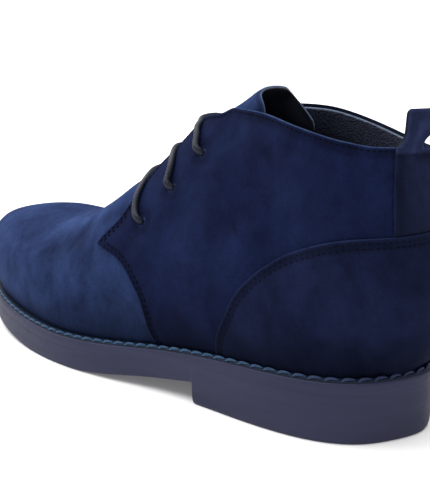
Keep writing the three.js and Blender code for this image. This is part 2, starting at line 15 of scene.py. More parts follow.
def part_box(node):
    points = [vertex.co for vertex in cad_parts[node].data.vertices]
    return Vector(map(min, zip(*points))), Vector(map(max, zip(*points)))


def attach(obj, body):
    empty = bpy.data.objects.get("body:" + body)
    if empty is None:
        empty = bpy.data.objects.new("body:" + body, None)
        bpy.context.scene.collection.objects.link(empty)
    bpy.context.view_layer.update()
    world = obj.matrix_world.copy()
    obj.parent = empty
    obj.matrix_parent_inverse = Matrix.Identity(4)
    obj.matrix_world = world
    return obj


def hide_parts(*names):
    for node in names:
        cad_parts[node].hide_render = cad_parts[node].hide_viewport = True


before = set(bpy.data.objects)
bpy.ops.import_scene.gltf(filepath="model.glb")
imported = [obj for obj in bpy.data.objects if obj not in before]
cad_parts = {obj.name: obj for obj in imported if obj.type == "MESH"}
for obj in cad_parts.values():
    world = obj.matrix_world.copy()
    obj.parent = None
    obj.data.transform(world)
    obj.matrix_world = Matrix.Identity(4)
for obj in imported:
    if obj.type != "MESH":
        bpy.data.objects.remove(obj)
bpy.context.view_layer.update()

# ---- sizes --------------------------------------------------------------------------------------
SOLE_LOW, SOLE_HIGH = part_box("sole")
LENGTH = (SOLE_HIGH.x - SOLE_LOW.x) * 1000  # sole, heel to toe
BALL_WIDTH = 100  # the tables' unit across the boot
INSTEP_HEIGHT = 100  # the tables' unit of height
HEEL_BLOCK = 94.5  # length of the heel block
FEATHER = 5.2  # foot of the upper, in from the edge of the sole
QUARTER = 0.9  # top of the quarters above the form
OVERLAY = 1.9  # top of the heel counter and back strip above the form
OVERLAY_UNDER = 0.62  # and their underside
LINING_TOP = -0.75  # face of the lining under the quarters, from the form
SHELL = 2.1  # upper with its lining
TONGUE_THICKNESS = 1.5
TONGUE_DROP = 2.7  # how far the tongue lies under the form
UNDERLAP = 6.5  # vamp carried on under the quarters
FOLD = 1.3  # suede turned in over the collar, above the lining
HOLE = 2.3  # radius of an eyelet
CORD = 1.55  # radius of the lace
STITCH_PITCH = 3.1
WELT_PITCH = 6.8
STITCH_COVER = 0.64  # share of the pitch that a stitch takes
STITCH_SINK = 0.3  # how deep a stitch's ends dip
EDGE_REACH = 14.0  # distances from an edge are told apart up to here
# distances from an edge at which points are added
ROLL_LEVELS = (0.0, 0.25, 0.6, 1.1, 1.7, 2.3, 3.0, 4.0, 5.2, 6.6)
SIDE_POINTS = 120  # points on each side of a section
LEATHER_ROWS = 280
VAMP_ROWS = 236
HALF_COLUMNS = 108  # columns of points on each side of the ridge
SIDES = (1, -1)  # outer and inner


def named(columns, *rows):
    """A table as one array for each named column."""
    return {name: np.array([row[i] for row in rows], float) for i, name in enumerate(columns)}


# x in % of the length, y in % of the ball's width, z in % of the instep's height
OUTER_EDGE = named(
    ("x", "y"), (0, -2.5), (1.6, 13.5), (4.8, 27.5), (9, 35.5), (15, 40), (26.7, 41.3), (38.3, 42),
    (47.3, 46), (56, 49), (63.3, 48.8), (70.7, 45.7), (80, 38.6), (88.7, 28), (95.5, 14), (99, 1),
    (100, -9))
INNER_EDGE = named(
    ("x", "y"), (0, -2.5), (1.5, -17), (4.8, -28.5), (9, -35), (15, -37.8), (26.7, -36.5),
    (38.3, -35.5), (48.3, -39.5), (58.3, -46.5), (68.3, -50.2), (78.3, -49.6), (87.3, -45),
    (94, -36.5), (98.3, -24.5), (100, -9))
SOLE_TOP = named(
    ("x", "z"), (0, 27.5), (12.3, 26.4), (25, 25.2), (37.3, 22.1), (49.7, 18.3), (62, 16.7),
    (74.7, 18), (85, 20.3), (100, 25))
ARCH = named(("x", "z"), (31.5, 10.3), (36, 8.1), (42, 5.6), (48, 2.8), (53, 0.9), (58, 0))
TOE_SPRING = named(("x", "z"), (68.7, 0), (76, 1.1), (84, 3.2), (92, 6.4), (100, 10))

# Sections of the form, toe to ankle, each square to the side view from its base to its ridge.
SECTIONS = named(
    ("at", "ridge_x", "ridge_z", "base_x", "base_z", "outer", "inner", "waist", "crown", "flare",
     "middle"),
    (0.0, 98.2, 24.4, 98.2, 0, 0.5, 0.5, 0.5, 2.0, 2.2, -9),
    (0.6, 99.1, 38, 97.9, 0, 8.5, 9.5, 0.5, 2.2, 2.2, -8.5),
    (1.2, 98.4, 52.7, 96.3, 0, 15.5, 18, 0.45, 2.3, 2.2, -8),
    (2.0, 95.4, 63.9, 93.0, 0, 23.5, 27, 0.4, 2.4, 2.2, -7),
    (3.0, 88.2, 70.5, 86.7, 0, 33, 36.5, 0.36, 2.25, 2.2, -6),
    (4.0, 78.3, 73.0, 77.3, 0, 42, 42, 0.34, 2.15, 2.2, -5),
    (5.0, 69.3, 72.9, 68.3, 0, 46.8, 43.8, 0.32, 2.1, 2.2, -4),
    (6.0, 61.5, 80.4, 59.7, 0, 47.8, 41.5, 0.3, 2.0, 2.2, -3),
    (7.0, 53.7, 95.3, 49.0, 0, 44.5, 36.8, 0.29, 1.9, 2.2, -1.5),
    (8.0, 46.3, 111, 35.0, 0, 40.5, 34.3, 0.29, 1.85, 2.2, -0.5),
    (9.0, 39.8, 127, 19.3, 0, 38.5, 34.5, 0.3, 1.85, 2.2, 0),
    (9.6, 36.3, 136, 10.0, 0, 37, 34, 0.31, 1.9, 2.2, -0.5),
    (10.2, 33.7, 143, 3.0, 0, 35.5, 33.5, 0.33, 2.0, 2.25, -2.2),
    (10.7, 32.0, 148, 0.73, 34, 34.5, 33, 0.35, 2.0, 2.25, -2.2),
    (11.4, 30.3, 154, -0.17, 50, 33.5, 32.5, 0.38, 2.0, 2.25, -1),
    (12.2, 28.8, 160, 0.17, 70, 32.5, 31.5, 0.42, 2.0, 2.2, 0),
    (13.0, 27.7, 165, 0.83, 90, 32, 31, 0.45, 2.0, 2.2, 0.5),
    (13.8, 26.8, 170, 1.33, 108, 32, 31.5, 0.46, 2.0, 2.2, 0.5),
    (14.6, 26.3, 175, 1.27, 125, 32, 32, 0.46, 2.0, 2.2, 0.5),
    (15.4, 26.0, 180, 1.0, 145, 32, 32, 0.46, 2.0, 2.2, 0.5))

# seams seen from the side, and the facing's edge by section and distance from the ridge
VAMP_SEAM = named(
    ("x", "z"), (38.6, 16), (39.7, 22.8), (40.7, 29), (41.3, 35.2), (42.3, 44.5), (43.9, 52.1),
    (45.7, 58.0), (47.5, 61.2), (50.5, 63.9), (52.6, 65.6))
FACING = named(
    ("at", "reach"), (7.05, 47), (7.28, 42.5), (7.45, 37), (7.55, 32), (7.66, 26.5), (7.8, 21),
    (8.0, 16), (8.3, 13), (8.7, 11.5), (9.15, 11.2), (9.45, 13.8), (9.7, 17.6), (9.95, 21))
COLLAR = named(
    ("x", "z"), (29.6, 134.1), (27.6, 133.8), (21.6, 132.6), (17, 129.7), (12.4, 126.3),
    (9.6, 124.1), (7.2, 122.6), (5, 121.4), (3.1, 121.1), (1.3, 120.2))
INNER_COLLAR = named(
    ("x", "z"), (29.6, 135.3), (27.6, 135.2), (21.6, 133.9), (17, 130.1), (12.4, 125.2),
    (9.6, 122.3), (7.2, 120.4), (5, 119.2), (3.1, 119.4), (1.3, 120.2))
COUNTER = named(
    ("x", "z"), (27.7, 14), (27.6, 20), (27.4, 28), (26.8, 36.5), (25.3, 45.9), (23.5, 56.6),
    (21.2, 64.9), (18.7, 71.5), (16.2, 76.3), (13.2, 80.2), (9.4, 84), (6, 86), (2.5, 86.8),
    (0.7, 87))
# The tongue's rows where it leaves the instep: front is its centre line, sides its two edges, both
# in the side view in mm, and half the width between the edges.
TONGUE = named(
    ("at", "front_x", "front_z", "sides_x", "sides_z", "half", "twist"),
    (8.6, 126, 120, 86, 104, 30, 0), (9.0, 118.3, 124.8, 80, 112, 27, 0),
    (9.4, 109.5, 129.3, 75, 117, 24.5, 0),
    (9.8, 100.5, 133.7, 72, 121, 22, 0.5), (10.3, 91, 138.9, 71, 129, 20.5, 4.5),
    (10.75, 83.3, 142.5, 71.5, 136.6, 19.8, 8), (11.0, 78.5, 144, 72, 139.2, 19.5, 9))
TONGUE_TOP_AT = 10.95
# half width of the cut tongue, measured round it
TONGUE_REACH = named(
    ("at", "outer", "inner"), (7.2, 45, 45), (7.8, 38, 38), (8.3, 31, 31), (8.6, 28.5, 28.5),
    (9.0, 29, 29), (9.4, 33, 34), (9.8, 37, 41), (10.3, 33, 38), (11.0, 24, 25))
EYELETS = named(("at", "reach"), (7.83, 47.5), (8.52, 39.3), (9.27, 32.6))


# ---- curves -------------------------------------------------------------------------------------
class Spline:
    """Cubic curve through values at ts, with natural ends unless an end's slope is given."""

    def __init__(self, ts, values, first=None, last=None):
        ts = np.asarray(ts, float)
        values = np.asarray(values, float)
        n = len(ts)
        step = np.diff(ts)
        rise = np.diff(values) / step
        rows = np.eye(n)
        right = np.zeros(n)
        for i in range(1, n - 1):
            rows[i, i - 1:i + 2] = step[i - 1], 2 * (step[i - 1] + step[i]), step[i]
            right[i] = 6 * (rise[i] - rise[i - 1])
        if first is not None:
            rows[0, :2] = 2 * step[0], step[0]
            right[0] = 6 * (rise[0] - first)
        if last is not None:
            rows[-1, -2:] = step[-1], 2 * step[-1]
            right[-1] = 6 * (last - rise[-1])
        self.ts = ts
        self.values = values
        self.bend = np.linalg.solve(rows, right)

    def __call__(self, t):
        t = np.asarray(t, float)
        k = np.clip(np.searchsorted(self.ts, t, side="right") - 1, 0, len(self.ts) - 2)
        step = self.ts[k + 1] - self.ts[k]
        b = (t - self.ts[k]) / step
        a = 1 - b
        bending = ((a**3 - a) * self.bend[k] + (b**3 - b) * self.bend[k + 1]) * step**2 / 6
        return a * self.values[k] + b * self.values[k + 1] + bending


TABLE_UNITS = {"x": LENGTH, "y": BALL_WIDTH, "z": INSTEP_HEIGHT}


def in_mm(table):
    """The x, y and z that a table of percentages has, in millimetres."""
    return [table[name] * size / 100 for name, size in TABLE_UNITS.items() if name in table]


def lengths(points):
    """Distance travelled at each point of a line."""
    return np.concatenate([[0], np.cumsum(np.linalg.norm(np.diff(points, axis=0), axis=1))])


def spots(marks, travelled, line):
    """The points of a line at distances travelled along it."""
    return np.stack([np.interp(marks, travelled, line[:, k]) for k in range(line.shape[1])], -1)


def even(points, spacing):
    """The same line with its points a given distance apart."""
    travelled = lengths(points)
    count = max(2, int(round(travelled[-1] / spacing)) + 1)
    marks = np.linspace(0, travelled[-1], count)
    return spots(marks, travelled, points)


def flowing(points, spacing=0.5):
    """A smooth line through a few points."""
    points = np.asarray(points, float)
    ts = lengths(points)
    fine = np.linspace(0, ts[-1], max(8, int(ts[-1] / spacing * 2)))
    curve = np.stack([Spline(ts, points[:, k])(fine) for k in range(points.shape[1])], 1)
    return even(curve, spacing)


def smooth_step(value, low, high):
    """0 at low and 1 at high, and smooth between them. low may be the greater of the two."""
    part = np.clip((value - low) / (high - low), 0, 1)
    return part * part * (3 - 2 * part)


def unit(vectors):
    """The vectors with a length of 1."""
    return vectors / np.maximum(np.linalg.norm(vectors, axis=-1, keepdims=True), 1e-9)


# ---- sole outline -------------------------------------------------------------------------------
def side_outline(table, side, inset, count=1200):
    """One side of the sole's outline, moved in by an inset: points, and directions to the inside."""
    xs, ys = in_mm(table)
    ts = lengths(np.stack([xs, ys], 1))
    curve_x = Spline(ts, xs, 0, 0)
    curve_y = Spline(ts, ys, side, -side)
    t = np.linspace(0, ts[-1], count)
    nudge = 1e-3
    along = unit(np.stack([curve_x(t + nudge) - curve_x(t - nudge),
                           curve_y(t + nudge) - curve_y(t - nudge)], 1))
    inward = np.stack([along[:, 1], -along[:, 0]], 1) * side
    return np.stack([curve_x(t), curve_y(t)], 1) + inward * inset, inward


SOLE_TOP_CURVE = Spline(*in_mm(SOLE_TOP))
ARCH_CURVE = Spline(*in_mm(ARCH), None, 0)
SPRING_CURVE = Spline(*in_mm(TOE_SPRING), 0, None)
ARCH_END = in_mm(ARCH)[0][-1]
SPRING_START = in_mm(TOE_SPRING)[0][0]


def sole_top(x):
    """Height of the face that the upper stands on."""
    return SOLE_TOP_CURVE(np.clip(x, 0, LENGTH))


def sole_bottom(x):
    """Height of the sole's underside: heel block, arch, tread and toe spring."""
    x = np.asarray(x, float)
    raised = np.where(x < ARCH_END, ARCH_CURVE(x), np.where(x > SPRING_START, SPRING_CURVE(x), 0))
    return np.where(x <= HEEL_BLOCK, 0, raised)


OUTLINES = ((1, OUTER_EDGE), (-1, INNER_EDGE))
FEATHER_LINE = {side: side_outline(table, side, FEATHER)[0] for side, table in OUTLINES}


def feather(side, x):
    """How far across the foot of the upper lies on one side."""
    return np.interp(x, FEATHER_LINE[side][:, 0], FEATHER_LINE[side][:, 1])


# ---- the form that the upper is made on ---------------------------------------------------------
def section_columns():
    """A curve through each column of the sections, in millimetres."""
    scale = {"ridge_x": LENGTH / 100, "base_x": LENGTH / 100, "ridge_z": INSTEP_HEIGHT / 100,
             "outer": BALL_WIDTH / 100, "inner": BALL_WIDTH / 100, "middle": BALL_WIDTH / 100}
    columns = {name: Spline(SECTIONS["at"], values * scale.get(name, 1))
               for name, values in SECTIONS.items() if name not in ("at", "base_z")}
    on_sole = sole_top(SECTIONS["base_x"] * LENGTH / 100)
    heights = np.where(SECTIONS["base_z"] == 0, on_sole, SECTIONS["base_z"] * INSTEP_HEIGHT / 100)
    columns["base_z"] = Spline(SECTIONS["at"], heights)
    return columns


FORM = section_columns()
# the section whose base is at the back of the heel: behind it every section is a closed ring
HEEL_AT = next(at for at in np.arange(8, 12, 0.001) if FORM["base_x"](at) <= FEATHER)
TOP_AT = SECTIONS["at"][-1]


def section_shape(at, side):
    """What one side of a section needs: base, ridge, middle, reach, powers and the lower depth."""
    base_x = FORM["base_x"](at)
    closed = at > HEEL_AT
    base = np.array([base_x, float(FORM["base_z"](at) if closed else sole_top(base_x))])
    ridge = np.array([FORM["ridge_x"](at), FORM["ridge_z"](at)])
    middle = float(FORM["middle"](at))
    half = 0 if closed else max(0.0, (feather(side, base_x) - middle) * side)
    widest = float(FORM["outer" if side > 0 else "inner"](at))
    reach = (widest**12 + half**12) ** (1 / 12)
    ratio = min(half / reach, 0.9999)
    waist, crown, flare = (float(FORM[name](at)) for name in ("waist", "crown", "flare"))
    depth = waist / (1 - ratio**flare) ** (1 / flare)
    return base, ridge, middle, reach, ratio, waist, crown, flare, depth


def section_side(at, side):
    """Points of one side of a section, base to ridge, and their distance from the ridge."""
    base, ridge, middle, reach, ratio, waist, crown, flare, depth = section_shape(at, side)
    low = math.acos(min(1.0, ratio ** (flare / 2))) * (1 - np.arange(SIDE_POINTS) / (SIDE_POINTS - 1))
    high = math.pi / 2 * np.arange(1, SIDE_POINTS) / (SIDE_POINTS - 1)
    y = np.concatenate([reach * np.cos(low) ** (2 / flare),
                        reach * np.maximum(np.cos(high), 0) ** (2 / crown)])
    up = np.concatenate([waist - depth * np.sin(low) ** (2 / flare),
                         waist + (1 - waist) * np.sin(high) ** (2 / crown)])
    up = np.maximum(up, 0)
    points = np.stack([base[0] + (ridge[0] - base[0]) * up, middle + side * y,
                       base[1] + (ridge[1] - base[1]) * up], 1)
    from_ridge = lengths(points[::-1])[::-1]
    return points, from_ridge


def form_point(at, reach):
    """The point of a section at a distance from the ridge, + on the outer side."""
    points, from_ridge = section_side(at, 1 if reach >= 0 else -1)
    return spots(abs(reach), from_ridge[::-1], points[::-1])


AT_STEPS = np.linspace(0.02, TOP_AT, 1500)
SECTION_LINES = np.array([np.concatenate(section_shape(at, 1)[:2]) for at in AT_STEPS])


def side_point(x, z, side):
    """The point of the form that is seen at x, z from the side."""
    base, ridge = SECTION_LINES[:, :2], SECTION_LINES[:, 2:]
    line_x, line_z = (ridge - base).T
    away_x, away_z = x - base[:, 0], z - base[:, 1]
    across = line_x * away_z - line_z * away_x
    up = away_x * line_x + away_z * line_z
    up = up / np.maximum(((ridge - base) ** 2).sum(1), 1e-9)
    turns = np.nonzero((across[:-1] * across[1:] <= 0) & (up[:-1] > -0.35) & (up[:-1] < 1.2))[0]
    if len(turns) == 0:
        k = int(np.argmin(np.abs(across)))
        at = AT_STEPS[k]
    else:
        k = int(turns[0])
        part = across[k] / (across[k] - across[k + 1] + 1e-12)
        at = AT_STEPS[k] + (AT_STEPS[k + 1] - AT_STEPS[k]) * part
    base, ridge, middle, reach, ratio, waist, crown, flare, depth = section_shape(at, side)
    line = ridge - base
    height = float(np.dot([x - base[0], z - base[1]], line) / np.dot(line, line))
    if height < waist:
        y = reach * max(0.0, 1 - ((waist - max(height, 0)) / depth) ** flare) ** (1 / flare)
    else:
        y = reach * max(0.0, 1 - ((min(height, 1) - waist) / (1 - waist)) ** crown) ** (1 / crown)
    return np.array([x, middle + side * y, z])


def side_line(table, side, count=40):
    """A seam drawn in the side view, laid on one side of the form."""
    xz = flowing(np.stack(in_mm(table), 1), 1.0)
    pick = np.linspace(0, len(xz) - 1, count).astype(int)
    return np.array([side_point(x, z, side) for x, z in xz[pick]])


# ---- patches of leather -------------------------------------------------------------------------
class Patch:
    """Triangles with values at their corners: place, outward direction and distances in mm."""

    def __init__(self, tris, values):
        self.tris = tris
        self.values = values

    def __getitem__(self, name):
        return self.values[name]

    def __setitem__(self, name, value):
        self.values[name] = value

    def copy(self):
        return Patch(self.tris.copy(), {name: value.copy() for name, value in self.values.items()})


def grid_patch(grid, closed=None, **more):
    """A patch from rows of points. In a closed row the last point is the first one again."""
    rows, columns = grid.shape[:2]
    closed = np.zeros(rows, bool) if closed is None else closed
    along = np.gradient(grid, axis=0)
    across = np.gradient(grid, axis=1)
    across[closed, 0] = grid[closed, 1] - grid[closed, -2]
    across[closed, -1] = across[closed, 0]
    normal = np.cross(along, across)
    centre = grid.mean(axis=1, keepdims=True)
    if (normal * (grid - centre)).sum() < 0:
        normal = -normal
    weak = np.linalg.norm(normal, axis=2) < 1e-7
    normal[weak] = (grid - centre)[weak]
    number = np.arange(rows * columns).reshape(rows, columns)
    number[closed, -1] = number[closed, 0]
    a, b, c, d = number[:-1, :-1], number[1:, :-1], number[1:, 1:], number[:-1, 1:]
    tris = np.concatenate([np.stack(corners, -1).reshape(-1, 3) for corners in ((a, b, c), (a, c, d))])
    values = {"place": grid.reshape(-1, 3), "out": unit(normal).reshape(-1, 3)}
    for name, value in more.items():
        values[name] = np.broadcast_to(value, (rows, columns)).reshape(-1).copy()
    patch = tidy(Patch(tris, values))
    flat = np.cross(patch["place"][patch.tris[:, 1]] - patch["place"][patch.tris[:, 0]],
                    patch["place"][patch.tris[:, 2]] - patch["place"][patch.tris[:, 0]])
    if (flat * patch["out"][patch.tris[:, 0]]).sum() < 0:
        patch.tris = patch.tris[:, ::-1].copy()
    return patch


def tidy(patch):
    """Joins points that coincide, and drops points and triangles that aren't used."""
    keys = np.round(patch["place"] / 0.01).astype(np.int64)
    _, first, back = np.unique(keys, axis=0, return_index=True, return_inverse=True)
    tris = back.reshape(-1)[patch.tris]
    sound = (tris[:, 0] != tris[:, 1]) & (tris[:, 1] != tris[:, 2]) & (tris[:, 2] != tris[:, 0])
    tris = tris[sound]
    used, tris = np.unique(tris, return_inverse=True)
    keep = first[used]
    return Patch(tris.reshape(-1, 3), {name: value[keep] for name, value in patch.values.items()})


def scored(patch, name, level):
    """The patch with its triangles cut along the line where a distance has a level."""
    above = patch[name] > level
    inside = above[patch.tris]
    count = inside.sum(1)
    crossing = (count == 1) | (count == 2)
    whole = patch.tris[~crossing]
    tris = patch.tris[crossing]
    lone = np.argmax(inside[crossing] == (count[crossing] == 1)[:, None], axis=1)
    tris = np.take_along_axis(tris, (lone[:, None] + np.arange(3)) % 3, axis=1)
    edges = np.sort(np.concatenate([tris[:, [0, 1]], tris[:, [0, 2]]]), axis=1)
    pairs, back = np.unique(edges, axis=0, return_inverse=True)
    low, high = patch[name][pairs[:, 0]], patch[name][pairs[:, 1]]
    part = np.clip((level - low) / np.where(high == low, 1, high - low), 0, 1)
    total = len(patch["place"])
    values = {}
    for key, value in patch.values.items():
        share = part[:, None] if value.ndim == 2 else part
        between = value[pairs[:, 0]] * (1 - share) + value[pairs[:, 1]] * share
        values[key] = np.concatenate([value, between])
    values["out"] = unit(values["out"])
    values[name][total:] = level
    first, second = np.split(back.reshape(-1) + total, 2)
    a, b, c = tris.T
    new = np.concatenate([np.stack([a, first, second], 1), np.stack([first, b, c], 1),
                          np.stack([first, c, second], 1)])
    return Patch(np.concatenate([whole, new]), values)


def trimmed(patch, name, levels=ROLL_LEVELS):
    """What lies above level 0 of a distance, with more points near its edge."""
    for level in levels:
        patch = scored(patch, name, level)
    kept = patch[name][patch.tris].mean(1) > 1e-9
    return tidy(Patch(patch.tris[kept], patch.values))


def nearest(line, points):
    """The nearest place on a line to each point, and the line's direction there."""
    place = np.empty_like(points)
    ahead = np.empty_like(points)
    direction = np.empty_like(line)
    direction[1:-1] = line[2:] - line[:-2]
    direction[0] = line[1] - line[0]
    direction[-1] = line[-1] - line[-2]
    direction = unit(direction)
    for start in range(0, len(points), 4096):
        chunk = points[start:start + 4096]
        far = (chunk**2).sum(1)[:, None] + (line**2).sum(1)[None] - 2 * chunk @ line.T
        k = far.argmin(1)
        best = np.full(len(chunk), np.inf)
        for shift in (-1, 0):
            i = np.clip(k + shift, 0, len(line) - 2)
            step = line[i + 1] - line[i]
            part = ((chunk - line[i]) * step).sum(1) / np.maximum((step**2).sum(1), 1e-12)
            part = np.clip(part, 0, 1)
            spot = line[i] + step * part[:, None]
            gap = ((chunk - spot) ** 2).sum(1)
            better = gap < best
            best = np.where(better, gap, best)
            place[start:start + 4096][better] = spot[better]
            turn = direction[i] * (1 - part[:, None]) + direction[i + 1] * part[:, None]
            ahead[start:start + 4096][better] = turn[better]
    return place, ahead


def left_of(line, patch, reach=EDGE_REACH):
    """Distance from a line on the form, + to its left as seen from outside, held at the reach."""
    place, ahead = nearest(line, patch["place"])
    apart = patch["place"] - place
    distance = np.linalg.norm(apart, axis=1)
    left = np.cross(patch["out"], ahead)
    sign = np.where((apart * left).sum(1) >= 0, 1.0, -1.0)
    sign[distance > reach] = 0
    edges = np.concatenate([patch.tris[:, [0, 1]], patch.tris[:, [1, 2]], patch.tris[:, [2, 0]]])
    edges = np.concatenate([edges, edges[:, ::-1]])
    for _ in range(2000):
        open_edges = edges[(sign[edges[:, 0]] != 0) & (sign[edges[:, 1]] == 0)]
        if len(open_edges) == 0:
            break
        sign[open_edges[:, 1]] = sign[open_edges[:, 0]]
    return sign * np.minimum(distance, reach)


def edge_loop(tris):
    """The directed edges that only one triangle has."""
    edges = np.concatenate([tris[:, [0, 1]], tris[:, [1, 2]], tris[:, [2, 0]]])
    key = np.sort(edges, axis=1)
    _, back, count = np.unique(key, axis=0, return_inverse=True, return_counts=True)
    return edges[count[back.reshape(-1)] == 1]


# ---- the surface that everything lies on --------------------------------------------------------
def spread_sections(count, last):
    """Sections spaced so that neither the ridge nor the foot of the form moves far between two."""
    ats = np.linspace(0.0, last, 900)
    base_x = FORM["base_x"](ats)
    foot = np.where(ats > HEEL_AT, FORM["base_z"](ats), feather(1, base_x))
    ridge = np.stack([FORM["ridge_x"](ats), FORM["ridge_z"](ats)], 1)
    base = np.stack([base_x, foot], 1)
    first_ring = int(np.argmax(ats > HEEL_AT))
    moved = np.linalg.norm(np.diff(base, axis=0), axis=1) * 0.8
    moved[first_ring - 1] = 0
    moved = np.maximum(moved, np.linalg.norm(np.diff(ridge, axis=0), axis=1))
    travelled = np.concatenate([[0], np.cumsum(moved)])
    return np.interp(np.linspace(0, travelled[-1], count), travelled, ats)


def form_grid(rows, last=TOP_AT):
    """Rows of points over the form, one to a section, their sections and distances from the ridge."""
    ats = spread_sections(rows, last)
    grid = np.empty((rows, 2 * HALF_COLUMNS + 1, 3))
    reach = np.empty((rows, 2 * HALF_COLUMNS + 1))
    for i, at in enumerate(ats):
        for side in SIDES:
            points, from_ridge = section_side(at, side)
            marks = from_ridge[0] * np.arange(HALF_COLUMNS + 1) / HALF_COLUMNS
            columns = HALF_COLUMNS - side * np.arange(HALF_COLUMNS + 1)
            grid[i, columns] = spots(marks, from_ridge[::-1], points[::-1])
            reach[i, columns] = side * marks
    return grid, ats, reach


def unevenness(place, seed, size, amount):
    """Slow hand-made unevenness, the same each time: a sum of a few waves."""
    rng = np.random.default_rng(seed)
    total = np.zeros(len(place))
    waves = 7
    for _ in range(waves):
        direction = unit(rng.normal(size=3))
        length = size * rng.uniform(0.7, 1.6)
        total += np.sin(place @ direction * 2 * math.pi / length + rng.uniform(0, 2 * math.pi))
    return total * amount / math.sqrt(waves)


# Soft troughs worn into the leather, each a short line on the form: from and to by section and
# distance from the ridge, with its depth and half width in mm; a negative depth is a ridge.
CREASES = named(
    ("from_at", "from_reach", "to_at", "to_reach", "depth", "width"),
    (6.45, 36, 5.95, 47, 1.5, 5.0), (5.6, 43, 5.2, 52, 0.9, 4.5), (5.2, 22, 6.5, 27, -0.9, 5.0),
    (5.95, 26, 6.35, 2, 0.7, 5.0), (4.0, 56, 4.75, 71, 0.6, 4.5), (5.55, 58, 5.95, 70, 0.7, 5.0),
    (6.9, 74, 7.3, 88, 0.6, 5.0), (5.6, -36, 6.0, -8, 0.7, 5.5), (6.1, -40, 6.45, -8, 0.6, 5.0),
    (8.3, 62, 9.0, 48, 0.9, 7.0), (8.9, 84, 9.9, 60, 1.0, 8.0), (9.4, 104, 10.8, 72, 0.9, 8.0),
    (8.6, -62, 9.4, -46, 0.9, 7.0), (9.2, -90, 10.2, -58, 1.0, 8.0),
    (10.2, 58, 11.2, 40, -0.8, 8.0), (10.4, -60, 11.4, -40, -0.8, 8.0),
    (7.5, 70, 8.2, 58, -0.6, 7.0))


def worn_in(place):
    """How far the leather stands off the form at each point: unevenness and creases."""
    lift = unevenness(place, 5, 46.0, 0.28) + unevenness(place, 9, 21.0, 0.10)
    for from_at, from_reach, to_at, to_reach, depth, width in zip(*CREASES.values()):
        ats = np.linspace(from_at, to_at, 7)
        reaches = np.linspace(from_reach, to_reach, 7)
        line = flowing([form_point(at, reach) for at, reach in zip(ats, reaches)], 1.5)
        spot, _ = nearest(line, place)
        gap = np.linalg.norm(place - spot, axis=1) / width
        to_end = np.minimum(*(np.linalg.norm(place - end, axis=1) for end in (line[0], line[-1])))
        fade = np.clip(to_end / (lengths(line)[-1] * 0.35), 0, 1)
        lift -= depth * np.exp(-gap**2) * (0.35 + 0.65 * fade)
    return lift


FORM_GRID, FORM_AT, FORM_REACH = form_grid(LEATHER_ROWS)
LEATHER = grid_patch(FORM_GRID, FORM_AT > HEEL_AT, at=FORM_AT[:, None], reach=FORM_REACH)
LEATHER["lift"] = worn_in(LEATHER["place"])


def seated(points, height=0.0):
    """Points set on the leather's surface and raised by a height, and the outward directions."""
    points = np.asarray(points, float)
    height = np.broadcast_to(height, len(points))
    placed = np.empty_like(points)
    out = np.empty_like(points)
    for start in range(0, len(points), 512):
        chunk = points[start:start + 512]
        base = LEATHER["place"]
        k = ((chunk**2).sum(1)[:, None] + (base**2).sum(1)[None] - 2 * chunk @ base.T).argmin(1)
        normal = LEATHER["out"][k]
        off = ((chunk - base[k]) * normal).sum(1)
        lift = LEATHER["lift"][k] + height[start:start + 512]
        placed[start:start + 512] = chunk + normal * (lift - off)[:, None]
        out[start:start + 512] = normal
    return placed, out


# ---- making pieces ------------------------------------------------------------------------------
OUTLINE_LOW_Y = side_outline(INNER_EDGE, -1, 0)[0][:, 1].min()
SHIFT = np.array([SOLE_LOW.x, SOLE_LOW.y - OUTLINE_LOW_Y / 1000, SOLE_LOW.z])


def cobble(name, places, faces, replaced=(), finishes=(), which=None, distances=None):
    """A piece of the boot from its points and faces, in its finishes, riding on the frame."""
    mesh = bpy.data.meshes.new(name)
    mesh.from_pydata(np.asarray(places) / 1000 + SHIFT, [], faces)
    for finish in finishes:
        mesh.materials.append(finish)
    if which is not None:
        mesh.polygons.foreach_set("material_index", np.asarray(which, np.int32))
    mesh.polygons.foreach_set("use_smooth", np.ones(len(mesh.polygons), bool))
    for key, value in (distances or {}).items():
        attribute = mesh.attributes.new(key, "FLOAT", "POINT")
        attribute.data.foreach_set("value", np.asarray(value, np.float32))
    mesh.validate()
    mesh.update()
    piece = bpy.data.objects.new(name, mesh)
    bpy.context.scene.collection.objects.link(piece)
    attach(piece, "root")
    if replaced:
        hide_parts(*replaced)
    return piece


# height over the sole up to which the upper is painted in shade, darkest at the welt, along the boot
SHADE_HEIGHT = named(
    ("x", "height"), (0, 26), (60, 24), (105, 32), (150, 36), (190, 24), (235, 13), (300, 9))

# single marks in the nap: place by section and distance from the ridge, half width in mm, and tone,
# + for a dark mark, painted shade in the creases and dents over the nap's own blotches, and - for a
# light one, a painted highlight on a ridge
MARKS = named(
    ("at", "reach", "size", "tone"),
    (6.27, 43, 6.5, 0.6), (6.0, 47, 6, 0.35), (5.42, 47, 8, 0.45), (4.07, 58, 8, 0.4),
    (4.6, 70, 8, 0.4), (5.72, 64, 8, 0.35), (7.2, 78, 9, 0.3), (5.4, 26, 7, -0.35),
    (5.9, 27, 7, -0.4), (6.4, 28, 7, -0.3), (9.4, 84, 13, -0.25), (10.6, 70, 14, -0.2),
    (8.6, 74, 12, -0.16), (8.8, 96, 10, 0.35), (9.9, 92, 11, 0.3), (6.2, -44, 7, 0.6),
    (5.3, -40, 8, 0.4), (4.3, -60, 9, 0.4), (8.7, -80, 12, -0.3), (10.0, -72, 13, 0.3),
    (11.5, -84, 14, -0.25))


def unbrushed(place):
    """Painted shade low on the upper: 1 at the welt, falling to 0 at the height given along the boot."""
    height = place[:, 2] - sole_top(place[:, 0])
    limit = np.interp(place[:, 0], SHADE_HEIGHT["x"], SHADE_HEIGHT["height"])
    return 1 - smooth_step(height / limit, 0.1, 1.0)


